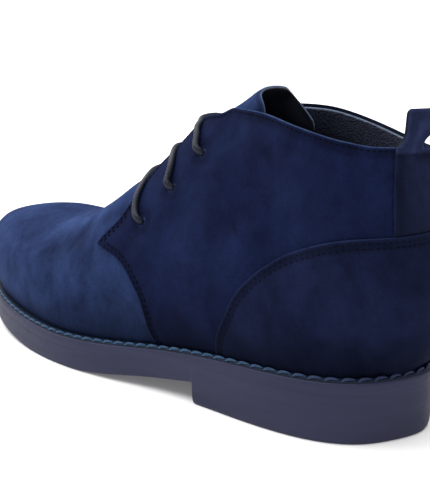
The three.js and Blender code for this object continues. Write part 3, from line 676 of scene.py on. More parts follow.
def marked(place):
    """How dark the single marks are at each point, - where they are light: painted shade and painted
    highlights.
    """
    total = np.zeros(len(place))
    for at, reach, size, tone in zip(*MARKS.values()):
        away = np.linalg.norm(place - form_point(at, reach), axis=1) / size
        total += tone * np.exp(-away**2)
    return total


def rounded(distance, radius):
    """How far a rolled edge falls away at a distance from it."""
    near = np.clip(1 - distance / radius, 0, 1)
    return radius * (1 - np.sqrt(1 - near**2))


def leather_piece(name, patch, top, bottom, edge, replaced, finishes, roll, under_roll,
                  rubbed=0):
    """A closed piece of leather between two heights over the form, with rolled edges."""
    top = np.broadcast_to(top, len(patch["place"])) - rounded(edge, roll)
    bottom = np.broadcast_to(bottom, len(patch["place"])) + rounded(edge, under_roll)
    high = patch["place"] + patch["out"] * (top + patch["lift"])[:, None]
    low = patch["place"] + patch["out"] * (bottom + patch["lift"])[:, None]
    count = len(high)
    rim = edge_loop(patch.tris)
    wall = np.stack([rim[:, 0], rim[:, 0] + count, rim[:, 1] + count, rim[:, 1]], 1)
    faces = patch.tris.tolist() + (patch.tris[:, ::-1] + count).tolist() + wall.tolist()
    which = [0] * len(patch.tris) + [1] * len(patch.tris) + [2] * len(wall)
    tone = marked(patch["place"])
    # painted shade along the welt and in the dark marks; painted highlight from the light marks and from
    # the highlight given for the piece
    dark = np.clip(unbrushed(patch["place"]) + np.maximum(tone, 0), 0, 1)
    light = np.maximum(-tone, 0) + rubbed
    distances = {"edge": np.tile(edge, 2), "unbrushed": np.tile(dark, 2), "rubbed": np.tile(light, 2)}
    return cobble(name, np.concatenate([high, low]), faces, replaced, finishes, which, distances)


def ring_faces(rings, around, wrapped=False):
    """Faces between neighbouring rings of points, and from the last ring to the first if wrapped."""
    faces = []
    for i in range(rings if wrapped else rings - 1):
        a, b = i * around, (i + 1) % rings * around
        for j in range(around):
            k = (j + 1) % around
            faces.append((a + j, a + k, b + k, b + j))
    return faces


def tube(path, radius, sides, profile=None):
    """A closed tube along a path: its points and faces. profile adds to the radius by way and angle."""
    ahead = unit(np.gradient(path, axis=0))
    side = np.empty_like(path)
    start = np.cross(ahead[0], [0.0, 0.0, 1.0])
    if np.linalg.norm(start) < 0.1:
        start = np.cross(ahead[0], [0.0, 1.0, 0.0])
    side[0] = unit(start)
    for i in range(1, len(path)):
        side[i] = unit(side[i - 1] - ahead[i] * np.dot(side[i - 1], ahead[i]))
    other = np.cross(ahead, side)
    angle = np.arange(sides) * 2 * math.pi / sides
    radii = np.broadcast_to(radius, len(path))[:, None] * np.ones(sides)
    if profile is not None:
        radii = radii + profile(lengths(path)[:, None], angle[None])
    ring = side[:, None] * np.cos(angle)[None, :, None] + other[:, None] * np.sin(angle)[None, :, None]
    points = (path[:, None] + ring * radii[..., None]).reshape(-1, 3)
    faces = ring_faces(len(path), sides)
    faces.append(tuple(range(sides - 1, -1, -1)))
    faces.append(tuple((len(path) - 1) * sides + j for j in range(sides)))
    return points, faces


def gathered(parts):
    """Several sets of points and faces as one."""
    places = []
    faces = []
    count = 0
    for points, own in parts:
        places.append(points)
        faces.extend([tuple(i + count for i in face) for face in own])
        count += len(points)
    return np.concatenate(places), faces


# ---- finishes -----------------------------------------------------------------------------------
def srgb(red, green, blue):
    """A colour given as it looks on a screen, 0 to 255, as the shader's own numbers."""
    return tuple((c / 255 / 12.92 if c / 255 <= 0.04045 else ((c / 255 + 0.055) / 1.055) ** 2.4)
                 for c in (red, green, blue)) + (1.0,)


class Nodes:
    """Short ways to place nodes in one tree."""

    def __init__(self, tree):
        self.tree = tree

    def add(self, kind, **settings):
        node = self.tree.nodes.new(kind)
        for name, value in settings.items():
            if name in node.inputs.keys():
                node.inputs[name].default_value = value
            else:
                setattr(node, name, value)
        return node

    def link(self, source, target):
        self.tree.links.new(source, target)
        return target.node

    def give(self, target, value):
        """Sets an input to a number or a colour, or links it to another node's output."""
        if isinstance(value, (int, float, tuple)):
            target.default_value = value
        else:
            self.link(value, target)

    def math(self, operation, first, second):
        node = self.add("ShaderNodeMath", operation=operation)
        self.give(node.inputs[0], first)
        self.give(node.inputs[1], second)
        return node.outputs[0]

    def plus(self, first, second):
        return self.math("ADD", first, second)

    def times(self, first, second):
        return self.math("MULTIPLY", first, second)

    def place(self):
        return self.add("ShaderNodeTexCoord").outputs["Object"]

    def attribute(self, name):
        return self.add("ShaderNodeAttribute", attribute_name=name).outputs["Fac"]

    def ranged(self, value, low, high, to_low=0.0, to_high=1.0):
        """A value brought from one range to another, and held inside it."""
        node = self.add("ShaderNodeMapRange", **{"From Min": low, "From Max": high, "To Min": to_low,
                                                 "To Max": to_high})
        self.link(value, node.inputs["Value"])
        return node.outputs["Result"]

    def mixed(self, share, first, second, blend="MIX"):
        node = self.add("ShaderNodeMix", data_type="RGBA", blend_type=blend)
        for value, socket in ((share, 0), (first, 6), (second, 7)):  # factor, and colours A and B
            self.give(node.inputs[socket], value)
        return node.outputs[2]

    def noise(self, where, scale, detail=2.0, rough=0.5, warp=0.0):
        node = self.add("ShaderNodeTexNoise", Scale=scale, Detail=detail, Roughness=rough,
                        Distortion=warp)
        self.link(where, node.inputs["Vector"])
        return node.outputs["Fac"]


def new_group(name, inputs, outputs):
    """An empty shader group with named sockets, and its inner input and output nodes."""
    group = bpy.data.node_groups.new(name, "ShaderNodeTree")
    for label, kind, value in inputs:
        group.interface.new_socket(name=label, in_out="INPUT", socket_type=kind).default_value = value
    for label, kind in outputs:
        group.interface.new_socket(name=label, in_out="OUTPUT", socket_type=kind)
    nodes = Nodes(group)
    return group, nodes, nodes.add("NodeGroupInput"), nodes.add("NodeGroupOutput")


def nap_light_and_shade_group():
    """Suede's nap: large patches brushed one way or the other, streaks and fine fibre, with painted
    highlights and painted shade mixed in.
    """
    colour, number = "NodeSocketColor", "NodeSocketFloat"
    group, n, given, made = new_group(
        "brushed nap",
        [("Deep", colour, (0.01, 0.015, 0.04, 1)), ("Brushed", colour, (0.02, 0.03, 0.08, 1)),
         ("Patches", number, 0.6)],
        [("Colour", colour), ("Height", number), ("Roughness", number)])
    where = n.place()
    stretch = n.add("ShaderNodeMapping")
    stretch.inputs["Scale"].default_value = (1.0, 1.0, 0.7)
    stretch.inputs["Rotation"].default_value = (0.2, 0.5, 0.1)
    n.link(where, stretch.inputs["Vector"])
    patches = n.ranged(n.noise(stretch.outputs[0], 46, 4, 0.6, 0.5), 0.34, 0.68)
    strokes = n.ranged(n.noise(stretch.outputs[0], 170, 3, 0.6, 0.3), 0.3, 0.7)
    tufts = n.ranged(n.noise(where, 620, 3, 0.6), 0.25, 0.75)
    fibre = n.noise(where, 2600, 2, 0.6)
    large = n.times(patches, given.outputs["Patches"])
    blend = n.plus(large, n.times(strokes, 0.24))
    blend = n.plus(blend, n.times(tufts, 0.16))
    base = n.mixed(blend, given.outputs["Deep"], given.outputs["Brushed"])
    speck = n.ranged(fibre, 0.3, 0.75, 0.72, 1.32)
    grey = n.add("ShaderNodeCombineColor")
    for k in range(3):
        n.link(speck, grey.inputs[k])
    toned = n.mixed(1.0, base, grey.outputs[0], "MULTIPLY")
    shade_share = n.attribute("unbrushed")
    rubbed = n.attribute("rubbed")
    # painted highlight: the nap lightened on the lit ridges and on the pull loop
    bright = n.mixed(rubbed, toned, n.mixed(1.0, toned, (2.6, 2.5, 2.3, 1.0), "MULTIPLY"))
    # painted shade: darker towards the welt and in the dark marks
    shaded = n.mixed(n.times(shade_share, 0.66), bright, (0.0008, 0.0011, 0.003, 1.0))
    n.link(shaded, made.inputs["Colour"])
    height = n.plus(n.times(tufts, 0.6), n.times(fibre, 0.5))
    height = n.plus(height, n.times(strokes, 0.5))
    n.link(height, made.inputs["Height"])
    n.link(n.ranged(patches, 0, 1, 0.97, 0.86), made.inputs["Roughness"])
    return group


def edge_highlight_and_shade_group():
    """Tone along a cut edge: the raw rim catches light, and the leather behind it lies in shade."""
    colour, number = "NodeSocketColor", "NodeSocketFloat"
    group, n, given, made = new_group(
        "worn edge",
        [("Colour", colour, (0, 0, 0, 1)), ("Rim", colour, (0.05, 0.07, 0.14, 1)),
         ("Rim share", number, 0.5), ("Shade", number, 0.5)],
        [("Colour", colour)])
    edge = n.attribute("edge")
    where = n.place()
    broken = n.ranged(n.noise(where, 300, 2, 0.6), 0.3, 0.6, 0.35, 1.0)
    rim = n.times(n.ranged(edge, 0.1, 0.5, 1.0, 0.0), given.outputs["Rim share"])
    rim = n.times(rim, broken)
    seam = n.times(n.ranged(edge, 0.8, 1.3), n.ranged(edge, 3.6, 5.6, 1.0, 0.0))
    shade = n.times(seam, given.outputs["Shade"])
    lit = n.mixed(rim, given.outputs["Colour"], given.outputs["Rim"])
    dark = n.mixed(shade, lit, (0.0012, 0.0014, 0.003, 1.0))
    n.link(dark, made.inputs["Colour"])
    return group


NAP = nap_light_and_shade_group()
EDGE = edge_highlight_and_shade_group()


def finish_material(name):
    """A new material, its nodes and its shader."""
    material = bpy.data.materials.new(name)
    material.use_nodes = True
    nodes = Nodes(material.node_tree)
    shader = material.node_tree.nodes["Principled BSDF"]
    return material, nodes, shader


def set_inputs(target, **values):
    """Sets a node's inputs, with _ in a name for a space."""
    for name, value in values.items():
        target.inputs[name.replace("_", " ")].default_value = value


def bumped(nodes, shader, height, distance, strength):
    """Gives a shader a relief, its depth in metres."""
    bump = nodes.add("ShaderNodeBump", Strength=strength, Distance=distance)
    nodes.link(height, bump.inputs["Height"])
    nodes.link(bump.outputs["Normal"], shader.inputs["Normal"])


def suede(name, deep, brushed, rim, rim_share, shade, patches):
    """Navy suede with a nap brushed in patches, sheen, a painted highlight along its cut edge and
    painted shade along the seam behind it.
    """
    material, n, shader = finish_material(name)
    nap = n.add("ShaderNodeGroup", node_tree=NAP)
    set_inputs(nap, Deep=deep, Brushed=brushed, Patches=patches)
    edge = n.add("ShaderNodeGroup", node_tree=EDGE)
    set_inputs(edge, Rim=rim, Rim_share=rim_share, Shade=shade)
    n.link(nap.outputs["Colour"], edge.inputs["Colour"])
    n.link(edge.outputs["Colour"], shader.inputs["Base Color"])
    n.link(nap.outputs["Roughness"], shader.inputs["Roughness"])
    set_inputs(shader, Specular_IOR_Level=0.04, Sheen_Weight=0.05, Sheen_Roughness=0.42,
               Sheen_Tint=srgb(80, 115, 200))
    bumped(n, shader, nap.outputs["Height"], 0.00022, 0.8)
    return material


def smooth_leather(name, deep, light, roughness):
    """Fine-grained lining leather."""
    material, n, shader = finish_material(name)
    where = n.place()
    cells = n.add("ShaderNodeTexVoronoi", Scale=900.0)
    n.link(where, cells.inputs["Vector"])
    tone = n.ranged(n.noise(where, 60, 3, 0.6), 0.3, 0.7)
    n.link(n.mixed(tone, deep, light), shader.inputs["Base Color"])
    rough = n.ranged(n.noise(where, 220, 2), 0.3, 0.7, roughness - 0.08, roughness + 0.08)
    n.link(rough, shader.inputs["Roughness"])
    set_inputs(shader, Specular_IOR_Level=0.15)
    bumped(n, shader, cells.outputs["Distance"], 0.00012, 0.5)
    return material


def collar_lining(name, deep, light, pale):
    """The lining with its pale edge and, below it, the padded band round the collar."""
    material, n, shader = finish_material(name)
    where = n.place()
    edge = n.attribute("edge")
    pebbles = n.add("ShaderNodeTexVoronoi", Scale=1000.0)
    n.link(where, pebbles.inputs["Vector"])
    grain = n.ranged(pebbles.outputs["Distance"], 0.15, 0.75)
    band = n.ranged(edge, 9.5, 12.0, 1.0, 0.25)
    tone = n.times(n.plus(n.times(grain, 0.6), n.times(n.noise(where, 90, 3, 0.6), 0.5)), band)
    broken = n.ranged(n.noise(where, 260, 2), 0.3, 0.6, 0.5, 1.0)
    worn = n.times(n.ranged(edge, 0.4, 0.9, 1.0, 0.0), broken)
    n.link(n.mixed(worn, n.mixed(tone, deep, light), pale), shader.inputs["Base Color"])
    set_inputs(shader, Roughness=0.55, Specular_IOR_Level=0.35)
    bumped(n, shader, grain, 0.00025, 0.7)
    return material


def moulded_rubber(name, deep, light):
    """Rubber from a mould: even, slightly scuffed, with faint flow bands along the wall."""
    material, n, shader = finish_material(name)
    where = n.place()
    flow = n.add("ShaderNodeMapping")
    flow.inputs["Scale"].default_value = (0.25, 0.25, 3.0)
    n.link(where, flow.inputs["Vector"])
    bands = n.ranged(n.noise(flow.outputs[0], 60, 3, 0.55, 0.3), 0.3, 0.7)
    scuffs = n.ranged(n.noise(where, 420, 4, 0.65), 0.45, 0.8)
    tone = n.plus(n.times(bands, 0.75), n.times(scuffs, 0.25))
    n.link(n.mixed(tone, deep, light), shader.inputs["Base Color"])
    n.link(n.ranged(scuffs, 0, 1, 0.58, 0.74), shader.inputs["Roughness"])
    set_inputs(shader, Specular_IOR_Level=0.2)
    grain = n.plus(n.noise(where, 1500, 2), n.times(scuffs, 0.6))
    bumped(n, shader, grain, 0.00008, 0.5)
    return material


HEEL_FADE = (SOLE_LOW.x + 0.010, SOLE_LOW.x + 0.085)  # where the welt's blue comes in, in metres along x


def sewing_thread(name, deep, light, roughness=0.6, shine=0.2, heel=None):
    """Twisted thread, which may turn to another colour towards the back of the heel."""
    material, n, shader = finish_material(name)
    where = n.place()
    twist = n.noise(where, 1800, 2, 0.6)
    colour = n.mixed(n.ranged(twist, 0.35, 0.65), deep, light)
    if heel is not None:
        apart = n.add("ShaderNodeSeparateXYZ")
        n.link(where, apart.inputs[0])
        colour = n.mixed(n.ranged(apart.outputs["X"], *HEEL_FADE), heel, colour)
    n.link(colour, shader.inputs["Base Color"])
    n.link(n.ranged(twist, 0.3, 0.7, roughness - 0.1, roughness + 0.1), shader.inputs["Roughness"])
    set_inputs(shader, Specular_IOR_Level=shine)
    bumped(n, shader, twist, 0.0001, 0.6)
    return material


# Each suede's rim colour is a painted highlight along its cut edges, and its shade share darkens the
# seam band behind them as painted shade.
FINISH = {
    # the vamp's suede is the same leather as the quarters', painted lighter for the light that falls on
    # the toe and instep
    "vamp": suede("suede, vamp", srgb(24, 33, 62), srgb(47, 65, 108), srgb(58, 80, 122), 0.3, 0.35,
                  0.5),
    "quarter": suede("suede, quarters", srgb(11, 15, 36), srgb(23, 33, 68), srgb(66, 90, 132), 0.55,
                     0.3, 0.55),
    "counter": suede("suede, heel counter", srgb(11, 15, 34), srgb(26, 34, 65), srgb(50, 70, 116),
                     0.32, 0.35, 0.5),
    "strip": suede("suede, back strip", srgb(11, 15, 32), srgb(26, 33, 60), srgb(40, 54, 86), 0.15,
                   0.35, 0.5),
    "cut_edge": smooth_leather("cut edge of the suede", srgb(20, 28, 48), srgb(40, 54, 84), 0.8),
    "turned_in": smooth_leather("suede turned in", srgb(12, 17, 33), srgb(26, 34, 58), 0.8),
    "lining": smooth_leather("lining leather", srgb(9, 10, 16), srgb(20, 22, 32), 0.6),
    "tongue_lining": smooth_leather("tongue lining", srgb(15, 17, 26), srgb(29, 32, 45), 0.6),
    "collar_lining": collar_lining("collar lining", srgb(22, 25, 37), srgb(54, 60, 82),
                                   srgb(84, 98, 122)),
    "rim": smooth_leather("pale cut rim", srgb(60, 73, 98), srgb(96, 112, 138), 0.7),
    # the strip's edges near-black: partly their own dark colour, partly painted shade on the loop's edge
    "strip_edge": smooth_leather("dark folded edge", srgb(5, 6, 11), srgb(11, 14, 22), 0.8),
    "rubber": moulded_rubber("moulded rubber", srgb(38, 40, 64), srgb(48, 50, 75)),
    "welt": moulded_rubber("welt strip", srgb(10, 22, 38), srgb(18, 34, 54)),
    "welt_thread": sewing_thread("welt thread", srgb(26, 50, 82), srgb(62, 94, 124),
                                 heel=srgb(32, 42, 72)),
    "seam_thread": sewing_thread("seam thread", srgb(3, 4, 9), srgb(7, 9, 18), 0.8, 0.05),
    "cord": sewing_thread("waxed cord", srgb(9, 12, 24), srgb(21, 28, 47), 0.5, 0.28),
}


# ---- seams --------------------------------------------------------------------------------------
def quarter_edge():
    """The edge of the quarters: outer seam, facing, collar, and back down the inner side."""
    parts = {}
    for side, collar in ((1, COLLAR), (-1, INNER_COLLAR)):
        facing = [form_point(at, side * reach) for at, reach in zip(FACING["at"], FACING["reach"])]
        parts[side] = (side_line(VAMP_SEAM, side), np.array(facing), side_line(collar, side, 60))
    whole = np.concatenate([*parts[1], np.concatenate(parts[-1])[::-1]])
    apart = np.concatenate([[True], np.linalg.norm(np.diff(whole, axis=0), axis=1) > 0.6])
    return flowing(whole[apart], 0.6), parts


def counter_edge():
    """The edge of the heel counter, from its outer foot over the heel to its inner foot."""
    outer, inner = (side_line(COUNTER, side, 80) for side in SIDES)
    return flowing(np.concatenate([outer[:-1], inner[::-1][1:]]), 0.6)


QUARTER_EDGE, SEAMS = quarter_edge()
COUNTER_EDGE = counter_edge()


def seam_gap(place, facing=None):
    """Distance to the nearer side's vamp seam and facing, or to the facing's first few points."""
    gaps = []
    for side in SIDES:
        seam, edge, _ = SEAMS[side]
        spot, _ = nearest(np.concatenate([seam, edge[:facing]]), place)
        gaps.append(np.linalg.norm(spot - place, axis=1))
    return np.minimum(*gaps)


def stitch_line(edge, inset, height, first=None, last=None):
    """Runs of a row of stitches to the right of an edge, between two of the edge's places."""
    begin = 0 if first is None else int(((edge - first) ** 2).sum(1).argmin())
    end = len(edge) if last is None else int(((edge - last) ** 2).sum(1).argmin())
    part = edge[min(begin, end):max(begin, end)]
    _, out = seated(part)
    ahead = unit(np.gradient(part, axis=0))
    row, _ = seated(part - unit(np.cross(out, ahead)) * inset)
    place, _ = nearest(edge, row)
    clear = np.linalg.norm(row - place, axis=1) > inset * 0.94
    above_sole = row[:, 2] > sole_top(row[:, 0]) + 1.5
    good = clear & above_sole
    cuts = np.nonzero(np.diff(good.astype(int)))[0] + 1
    runs = [run for run, fine in zip(np.split(row, cuts), good[[0, *cuts]]) if fine and len(run) > 8]
    return [seated(even(run, STITCH_PITCH / 6), height)[0] for run in runs]


def stitches(run, radius, pitch=STITCH_PITCH):
    """Short stitches along a line, each dipping into the leather at both ends."""
    parts = []
    bow = np.array([-1.0, 0.1, 0.35, 0.35, 0.1, -1.0]) * STITCH_SINK
    width = radius * np.array([0.55, 0.95, 1.0, 1.0, 0.95, 0.55])
    travelled = lengths(run)
    count = int(travelled[-1] / pitch)
    _, out = seated(run)
    for i in range(count):
        marks = (i + 0.5 - STITCH_COVER / 2 + STITCH_COVER * np.linspace(0, 1, 6)) * pitch
        path = spots(marks, travelled, run)
        up = spots(marks, travelled, out)
        parts.append(tube(path + up * bow[:, None], width, 7))
    return parts


# ---- vamp with its tongue -----------------------------------------------------------------------
def tongue_row(at, reach):
    """Points of the tongue's own row at distances from its centre line, + on the outer side."""
    row = {name: float(Spline(TONGUE["at"], TONGUE[name])(at)) for name in TONGUE if name != "at"}
    turn = np.linspace(0, math.pi / 2, 60)
    centre = np.array([row["sides_x"], 0, row["sides_z"]])
    front = np.array([row["front_x"], 0, row["front_z"]]) - centre
    side = np.array([0, row["half"], 0])
    curve = centre + front * np.cos(turn)[:, None] + side * np.sin(turn)[:, None]
    travelled = lengths(curve)
    far = np.abs(reach)
    points = spots(far, travelled, curve)
    beyond = np.maximum(far - travelled[-1], 0)[:, None]
    points = points - unit(front) * beyond
    points[:, 0] += row["twist"] * np.where(reach < 0, (points[:, 1] / row["half"]) ** 2, 0)
    points[:, 1] *= np.sign(reach)
    points[:, 1] += FORM["middle"](at) * 0.5
    return points


# sections where the tongue leaves the form, where it starts, and where the sheet under the quarters ends
TONGUE_LEAVES = (8.7, 9.5)
TONGUE_START = 7.2
SHEET_END = 8.9
# the sheet stays this far from the ridge above a section, so that the throat has the tongue alone
SHEET_CLEAR = 36
SHEET_CLEAR_FROM = 7.45
SECTION_STEP = 50  # mm from one section to the next, roughly, at the throat
TONGUE_CORNERS = (13, 19)  # radius of the tongue's outer and inner top corner


def make_vamp():
    """One piece of suede: the forepart, carried under the quarters, and the tongue above it."""
    grid, ats, reach = form_grid(VAMP_ROWS, TONGUE_TOP_AT + 0.1)
    leaving = smooth_step(ats, *TONGUE_LEAVES)
    for i in np.nonzero(leaving > 0)[0]:
        grid[i] = grid[i] * (1 - leaving[i]) + tongue_row(ats[i], reach[i]) * leaving[i]
    middle = grid[:, grid.shape[1] // 2]
    climbed = lengths(middle)
    top = np.interp(TONGUE_TOP_AT, ats, climbed)
    lift = worn_in(grid.reshape(-1, 3)).reshape(reach.shape)
    flat = grid_patch(grid, None, at=ats[:, None], reach=reach, lift=lift, climbed=climbed[:, None],
                      leaving=leaving[:, None])
    under = UNDERLAP + left_of(QUARTER_EDGE, flat)
    far = np.abs(flat["reach"])
    outward = flat["reach"] > 0
    half = np.where(outward, *(np.interp(flat["at"], TONGUE_REACH["at"], TONGUE_REACH[side])
                               for side in ("outer", "inner")))
    corner = np.where(outward, *TONGUE_CORNERS)
    throat = np.maximum(far - SHEET_CLEAR, (SHEET_CLEAR_FROM - flat["at"]) * SECTION_STEP)
    sheet = np.where(flat["at"] > SHEET_END, -20, np.minimum(under, throat))
    aside = corner - (half - far)
    above = corner - (top - flat["climbed"])
    round_corner = np.hypot(np.maximum(aside, 0), np.maximum(above, 0))
    rounded_top = corner - round_corner - np.minimum(np.maximum(aside, above), 0)
    tongue = np.minimum(rounded_top, (flat["at"] - TONGUE_START) * SECTION_STEP)
    flat["edge"] = np.maximum(sheet, tongue)
    patch = trimmed(flat, "edge")
    near = smooth_step(52 - np.abs(patch["reach"]), 0, 14)
    drop = TONGUE_DROP * smooth_step(patch["at"], 7.0, 7.7) * near * (1 - patch["leaving"])
    patch["lift"] = patch["lift"] * (1 - smooth_step(patch["at"], 7.6, 8.6))
    edge = np.minimum(patch["edge"], EDGE_REACH)
    finishes = (FINISH["vamp"], FINISH["tongue_lining"], FINISH["rim"])
    return leather_piece("vamp_and_tongue", patch, -drop, -drop - TONGUE_THICKNESS, edge,
                         ("tongue",), finishes, 0.45, 0.45)


# ---- quarters -----------------------------------------------------------------------------------
def eyelet_middles():
    """Middle of each eyelet on the form."""
    return [form_point(at, side * reach) for at, reach in zip(EYELETS["at"], EYELETS["reach"])
            for side in SIDES]


def make_quarters():
    """Both quarters in one piece, with their facings, punched eyelets and rolled edges."""
    patch = LEATHER.copy()
    patch["edge"] = -left_of(QUARTER_EDGE, patch)
    patch = trimmed(patch, "edge")
    middles = eyelet_middles()
    to_holes = [np.linalg.norm(patch["place"] - middle, axis=1) - HOLE for middle in middles]
    patch["hole"] = np.minimum(np.min(to_holes, axis=0), 20.0)
    patch = trimmed(patch, "hole", (0.0, 0.3, 0.7, 1.2, 2.0))
    for middle in middles:
        away = patch["place"] - middle
        close = (np.abs(patch["hole"]) < 1e-6) & (np.linalg.norm(away, axis=1) < HOLE * 1.5)
        patch["place"][close] = middle + unit(away[close]) * HOLE
    roll = np.minimum(patch["edge"], patch["hole"])
    gap = seam_gap(patch["place"])
    at_seam = smooth_step(gap, 6, 3)
    press = (0.08 + 0.2 * at_seam) * np.exp(-((patch["edge"] - 2.9) / 1.2) ** 2)
    press += 0.4 * np.exp(-(patch["hole"] / 1.2) ** 2)
    settle = 0.8 * smooth_step(gap, 7.5, 16)
    finishes = (FINISH["quarter"], FINISH["turned_in"], FINISH["cut_edge"])
    return leather_piece("quarters", patch, QUARTER - settle * 0.35 - press, -0.08 - settle * 0.3, roll,
                         (), finishes, 0.35, 0.1)


FACING_FOOT = 7  # points of the facing that the vamp's seam runs on into


def make_lining():
    """The lining inside the quarters, which starts under the suede folded over the collar."""
    patch = LEATHER.copy()
    inside = -left_of(QUARTER_EDGE, patch)
    patch["edge"] = np.minimum(inside - FOLD, seam_gap(patch["place"], FACING_FOOT) - UNDERLAP - 1)
    patch = trimmed(patch, "edge", (0.0, 0.3, 0.8, 1.6, 3.0))
    finishes = (FINISH["rim"], FINISH["collar_lining"], FINISH["rim"])
    edge = np.minimum(patch["edge"], EDGE_REACH)
    return leather_piece("quarter_lining", patch, LINING_TOP, -SHELL, edge,
                         ("upper",), finishes, 0.3, 0.5)


# ---- heel counter and back strip ----------------------------------------------------------------
def make_counter():
    """The suede patch over the heel, on top of the quarters."""
    patch = LEATHER.copy()
    patch["edge"] = -left_of(COUNTER_EDGE, patch)
    patch = trimmed(patch, "edge")
    press = 0.35 * np.exp(-((patch["edge"] - 3.1) / 1.4) ** 2)
    finishes = (FINISH["counter"], FINISH["lining"], FINISH["cut_edge"])
    return leather_piece("heel_counter_patch", patch, OVERLAY - press, OVERLAY_UNDER, patch["edge"],
                         ("heel_counter",), finishes, 0.8, 0.05)


# half widths and heights of the strip, from its foot to the top of the loop, and of the finger slot
STRIP = {"foot_half": 23.0, "foot": 84.0, "half": 20.3, "collar": 121.3, "neck_half": 16.0,
         "neck": 127.5, "top": 135.6, "corner": 2.2}
SLOT = {"half": 7.0, "foot": 121.0, "top": 125.6}
BAND = 118.2  # height of the stitched line across the strip
STRIP_TUCKED = 88.5  # height up to which the strip's foot is tucked under the heel counter


def strip_outline():
    """Half of the strip's outline in the back view, foot to top, as distances across and heights."""
    half, neck_half = STRIP["half"], STRIP["neck_half"]
    foot = [(STRIP["foot_half"], STRIP["foot"]), (half, STRIP["collar"] - 0.4)]
    turn = np.linspace(0, math.pi / 2, 12)
    drop = STRIP["neck"] - STRIP["collar"]
    flare = [(neck_half + (half - neck_half) * (1 - math.sin(a)),
              STRIP["collar"] + drop * (1 - math.cos(a))) for a in turn]
    corner = STRIP["corner"]
    top = [(neck_half - corner * (1 - math.cos(a)),
            STRIP["top"] - corner * (1 - math.sin(a))) for a in turn]
    return np.array(foot + flare + top)


def make_back_strip():
    """The strip up the back seam and the pull loop above the collar, with its finger slot."""
    ats = np.linspace(12.0, TOP_AT - 0.02, 110)
    across = np.linspace(-25, 25, 101)
    grid = np.empty((len(ats), len(across), 3))
    for i, at in enumerate(ats):
        for side in SIDES:
            points, from_ridge = section_side(at, side)
            from_back = from_ridge[0] - from_ridge
            chosen = across >= 0 if side > 0 else across < 0
            grid[i, chosen] = spots(np.abs(across[chosen]), from_back, points)
    patch = grid_patch(grid, None, across=across[None, :])
    laid_flat = np.stack([patch["across"], patch["across"] * 0, patch["place"][:, 2]], 1)
    flat = Patch(patch.tris, {"place": laid_flat, "out": np.tile([0.0, -1.0, 0.0], (len(laid_flat), 1))})
    half = strip_outline()
    outline = np.concatenate([half, half[::-1] * [-1, 1]])
    line = even(np.stack([outline[:, 0], outline[:, 0] * 0, outline[:, 1]], 1), 0.4)
    around = left_of(line, flat)
    patch["edge"] = np.minimum(around, flat["place"][:, 2] - STRIP["foot"])
    rise = (flat["place"][:, 2] - SLOT["foot"]) / (SLOT["top"] - SLOT["foot"])
    wide = np.abs(flat["place"][:, 0]) / SLOT["half"]
    patch["slot"] = np.maximum((wide**2 + np.maximum(rise, 0) ** 2 - 1) * 2.6, -rise * 4)
    patch = trimmed(patch, "edge")
    patch = trimmed(patch, "slot", (0.0, 0.3, 0.7, 1.2))
    patch["lift"] = worn_in(patch["place"])
    height = patch["place"][:, 2]
    free = smooth_step(height, 118.5, 122.5)
    roll = np.minimum(patch["edge"], patch["slot"])
    seam = 0.4 * np.exp(-((height - BAND) / 0.9) ** 2)
    side_seam = 0.3 * np.exp(-((patch["edge"] - 3.6) / 1.3) ** 2) * (1 - free)
    tucked = smooth_step(STRIP_TUCKED - height, 0, 2.0)
    top = OVERLAY - 0.1 - seam - side_seam - 0.95 * tucked
    bottom = OVERLAY_UNDER - 1.2 * free - 0.5 * tucked
    finishes = (FINISH["strip"], FINISH["strip"], FINISH["strip_edge"])
    patch["edge"] = np.minimum(patch["edge"], EDGE_REACH)
    # above its stitched band the strip is painted lighter: a painted highlight where the loop catches
    # the light
    return leather_piece("back_strip_and_loop", patch, top, bottom, roll, ("back_strip",),
                         finishes, 0.7, 0.5, rubbed=smooth_step(height, BAND, BAND + 1.6))


# ---- sole ---------------------------------------------------------------------------------------
def outline_stations():
    """Places along the sole, closer together at both ends and at the breast of the heel."""
    turn = np.linspace(0, math.pi, 190)
    along = LENGTH * (1 - np.cos(turn)) / 2
    along = along[np.abs(along - HEEL_BLOCK) > 2.6]
    breast = [HEEL_BLOCK + step for step in (-2.4, -1.2, -0.45, -0.1, 0.1, 0.9, 2.4)]
    root = float(sole_bottom(HEEL_BLOCK + 0.9))
    last = float(sole_bottom(breast[-1]))
    heights = dict(zip(breast, (0, 0, 0.25, 1.0, root - 1.8, root, last)))
    xs = np.sort(np.concatenate([along, breast]))
    low = np.array([heights.get(x, float(sole_bottom(x))) for x in xs])
    return xs, low


def edge_ring(inset):
    """The sole's outline at the stations, outer side then inner side back, moved in by an inset."""
    xs, low = outline_stations()
    halves = []
    for side, table in OUTLINES:
        points, inward = side_outline(table, side, 0, 4000)
        at_x = np.stack([np.interp(xs, points[:, 0], points[:, 1]),
                         np.interp(xs, points[:, 0], inward[:, 0]),
                         np.interp(xs, points[:, 0], inward[:, 1])], 1)
        direction = unit(at_x[:, 1:])
        halves.append(np.stack([xs, at_x[:, 0]], 1) + direction * inset)
    return halves[0], halves[1], low


# how the wall of the sole goes from its top face to its underside: how far in, and the height in
# mm down from the top (from_top 1) or up from the underside (from_top 0)
SOLE_WALL = named(
    ("inset", "height", "from_top"),
    (2.2, 0, 1), (1.0, 0.05, 1), (0.35, 0.3, 1), (0.05, 0.9, 1), (0, 1.6, 1), (0, 3.6, 1),
    (0.05, 4.3, 1), (0.14, 4.7, 1), (0.14, 5.0, 1), (0.05, 5.4, 1), (0.02, 6.4, 1),
    (0.35, 3.4, 0), (0.62, 1.6, 0), (0.8, 0.8, 0), (1.15, 0.25, 0), (1.8, 0.0, 0), (3.0, 0.0, 0))


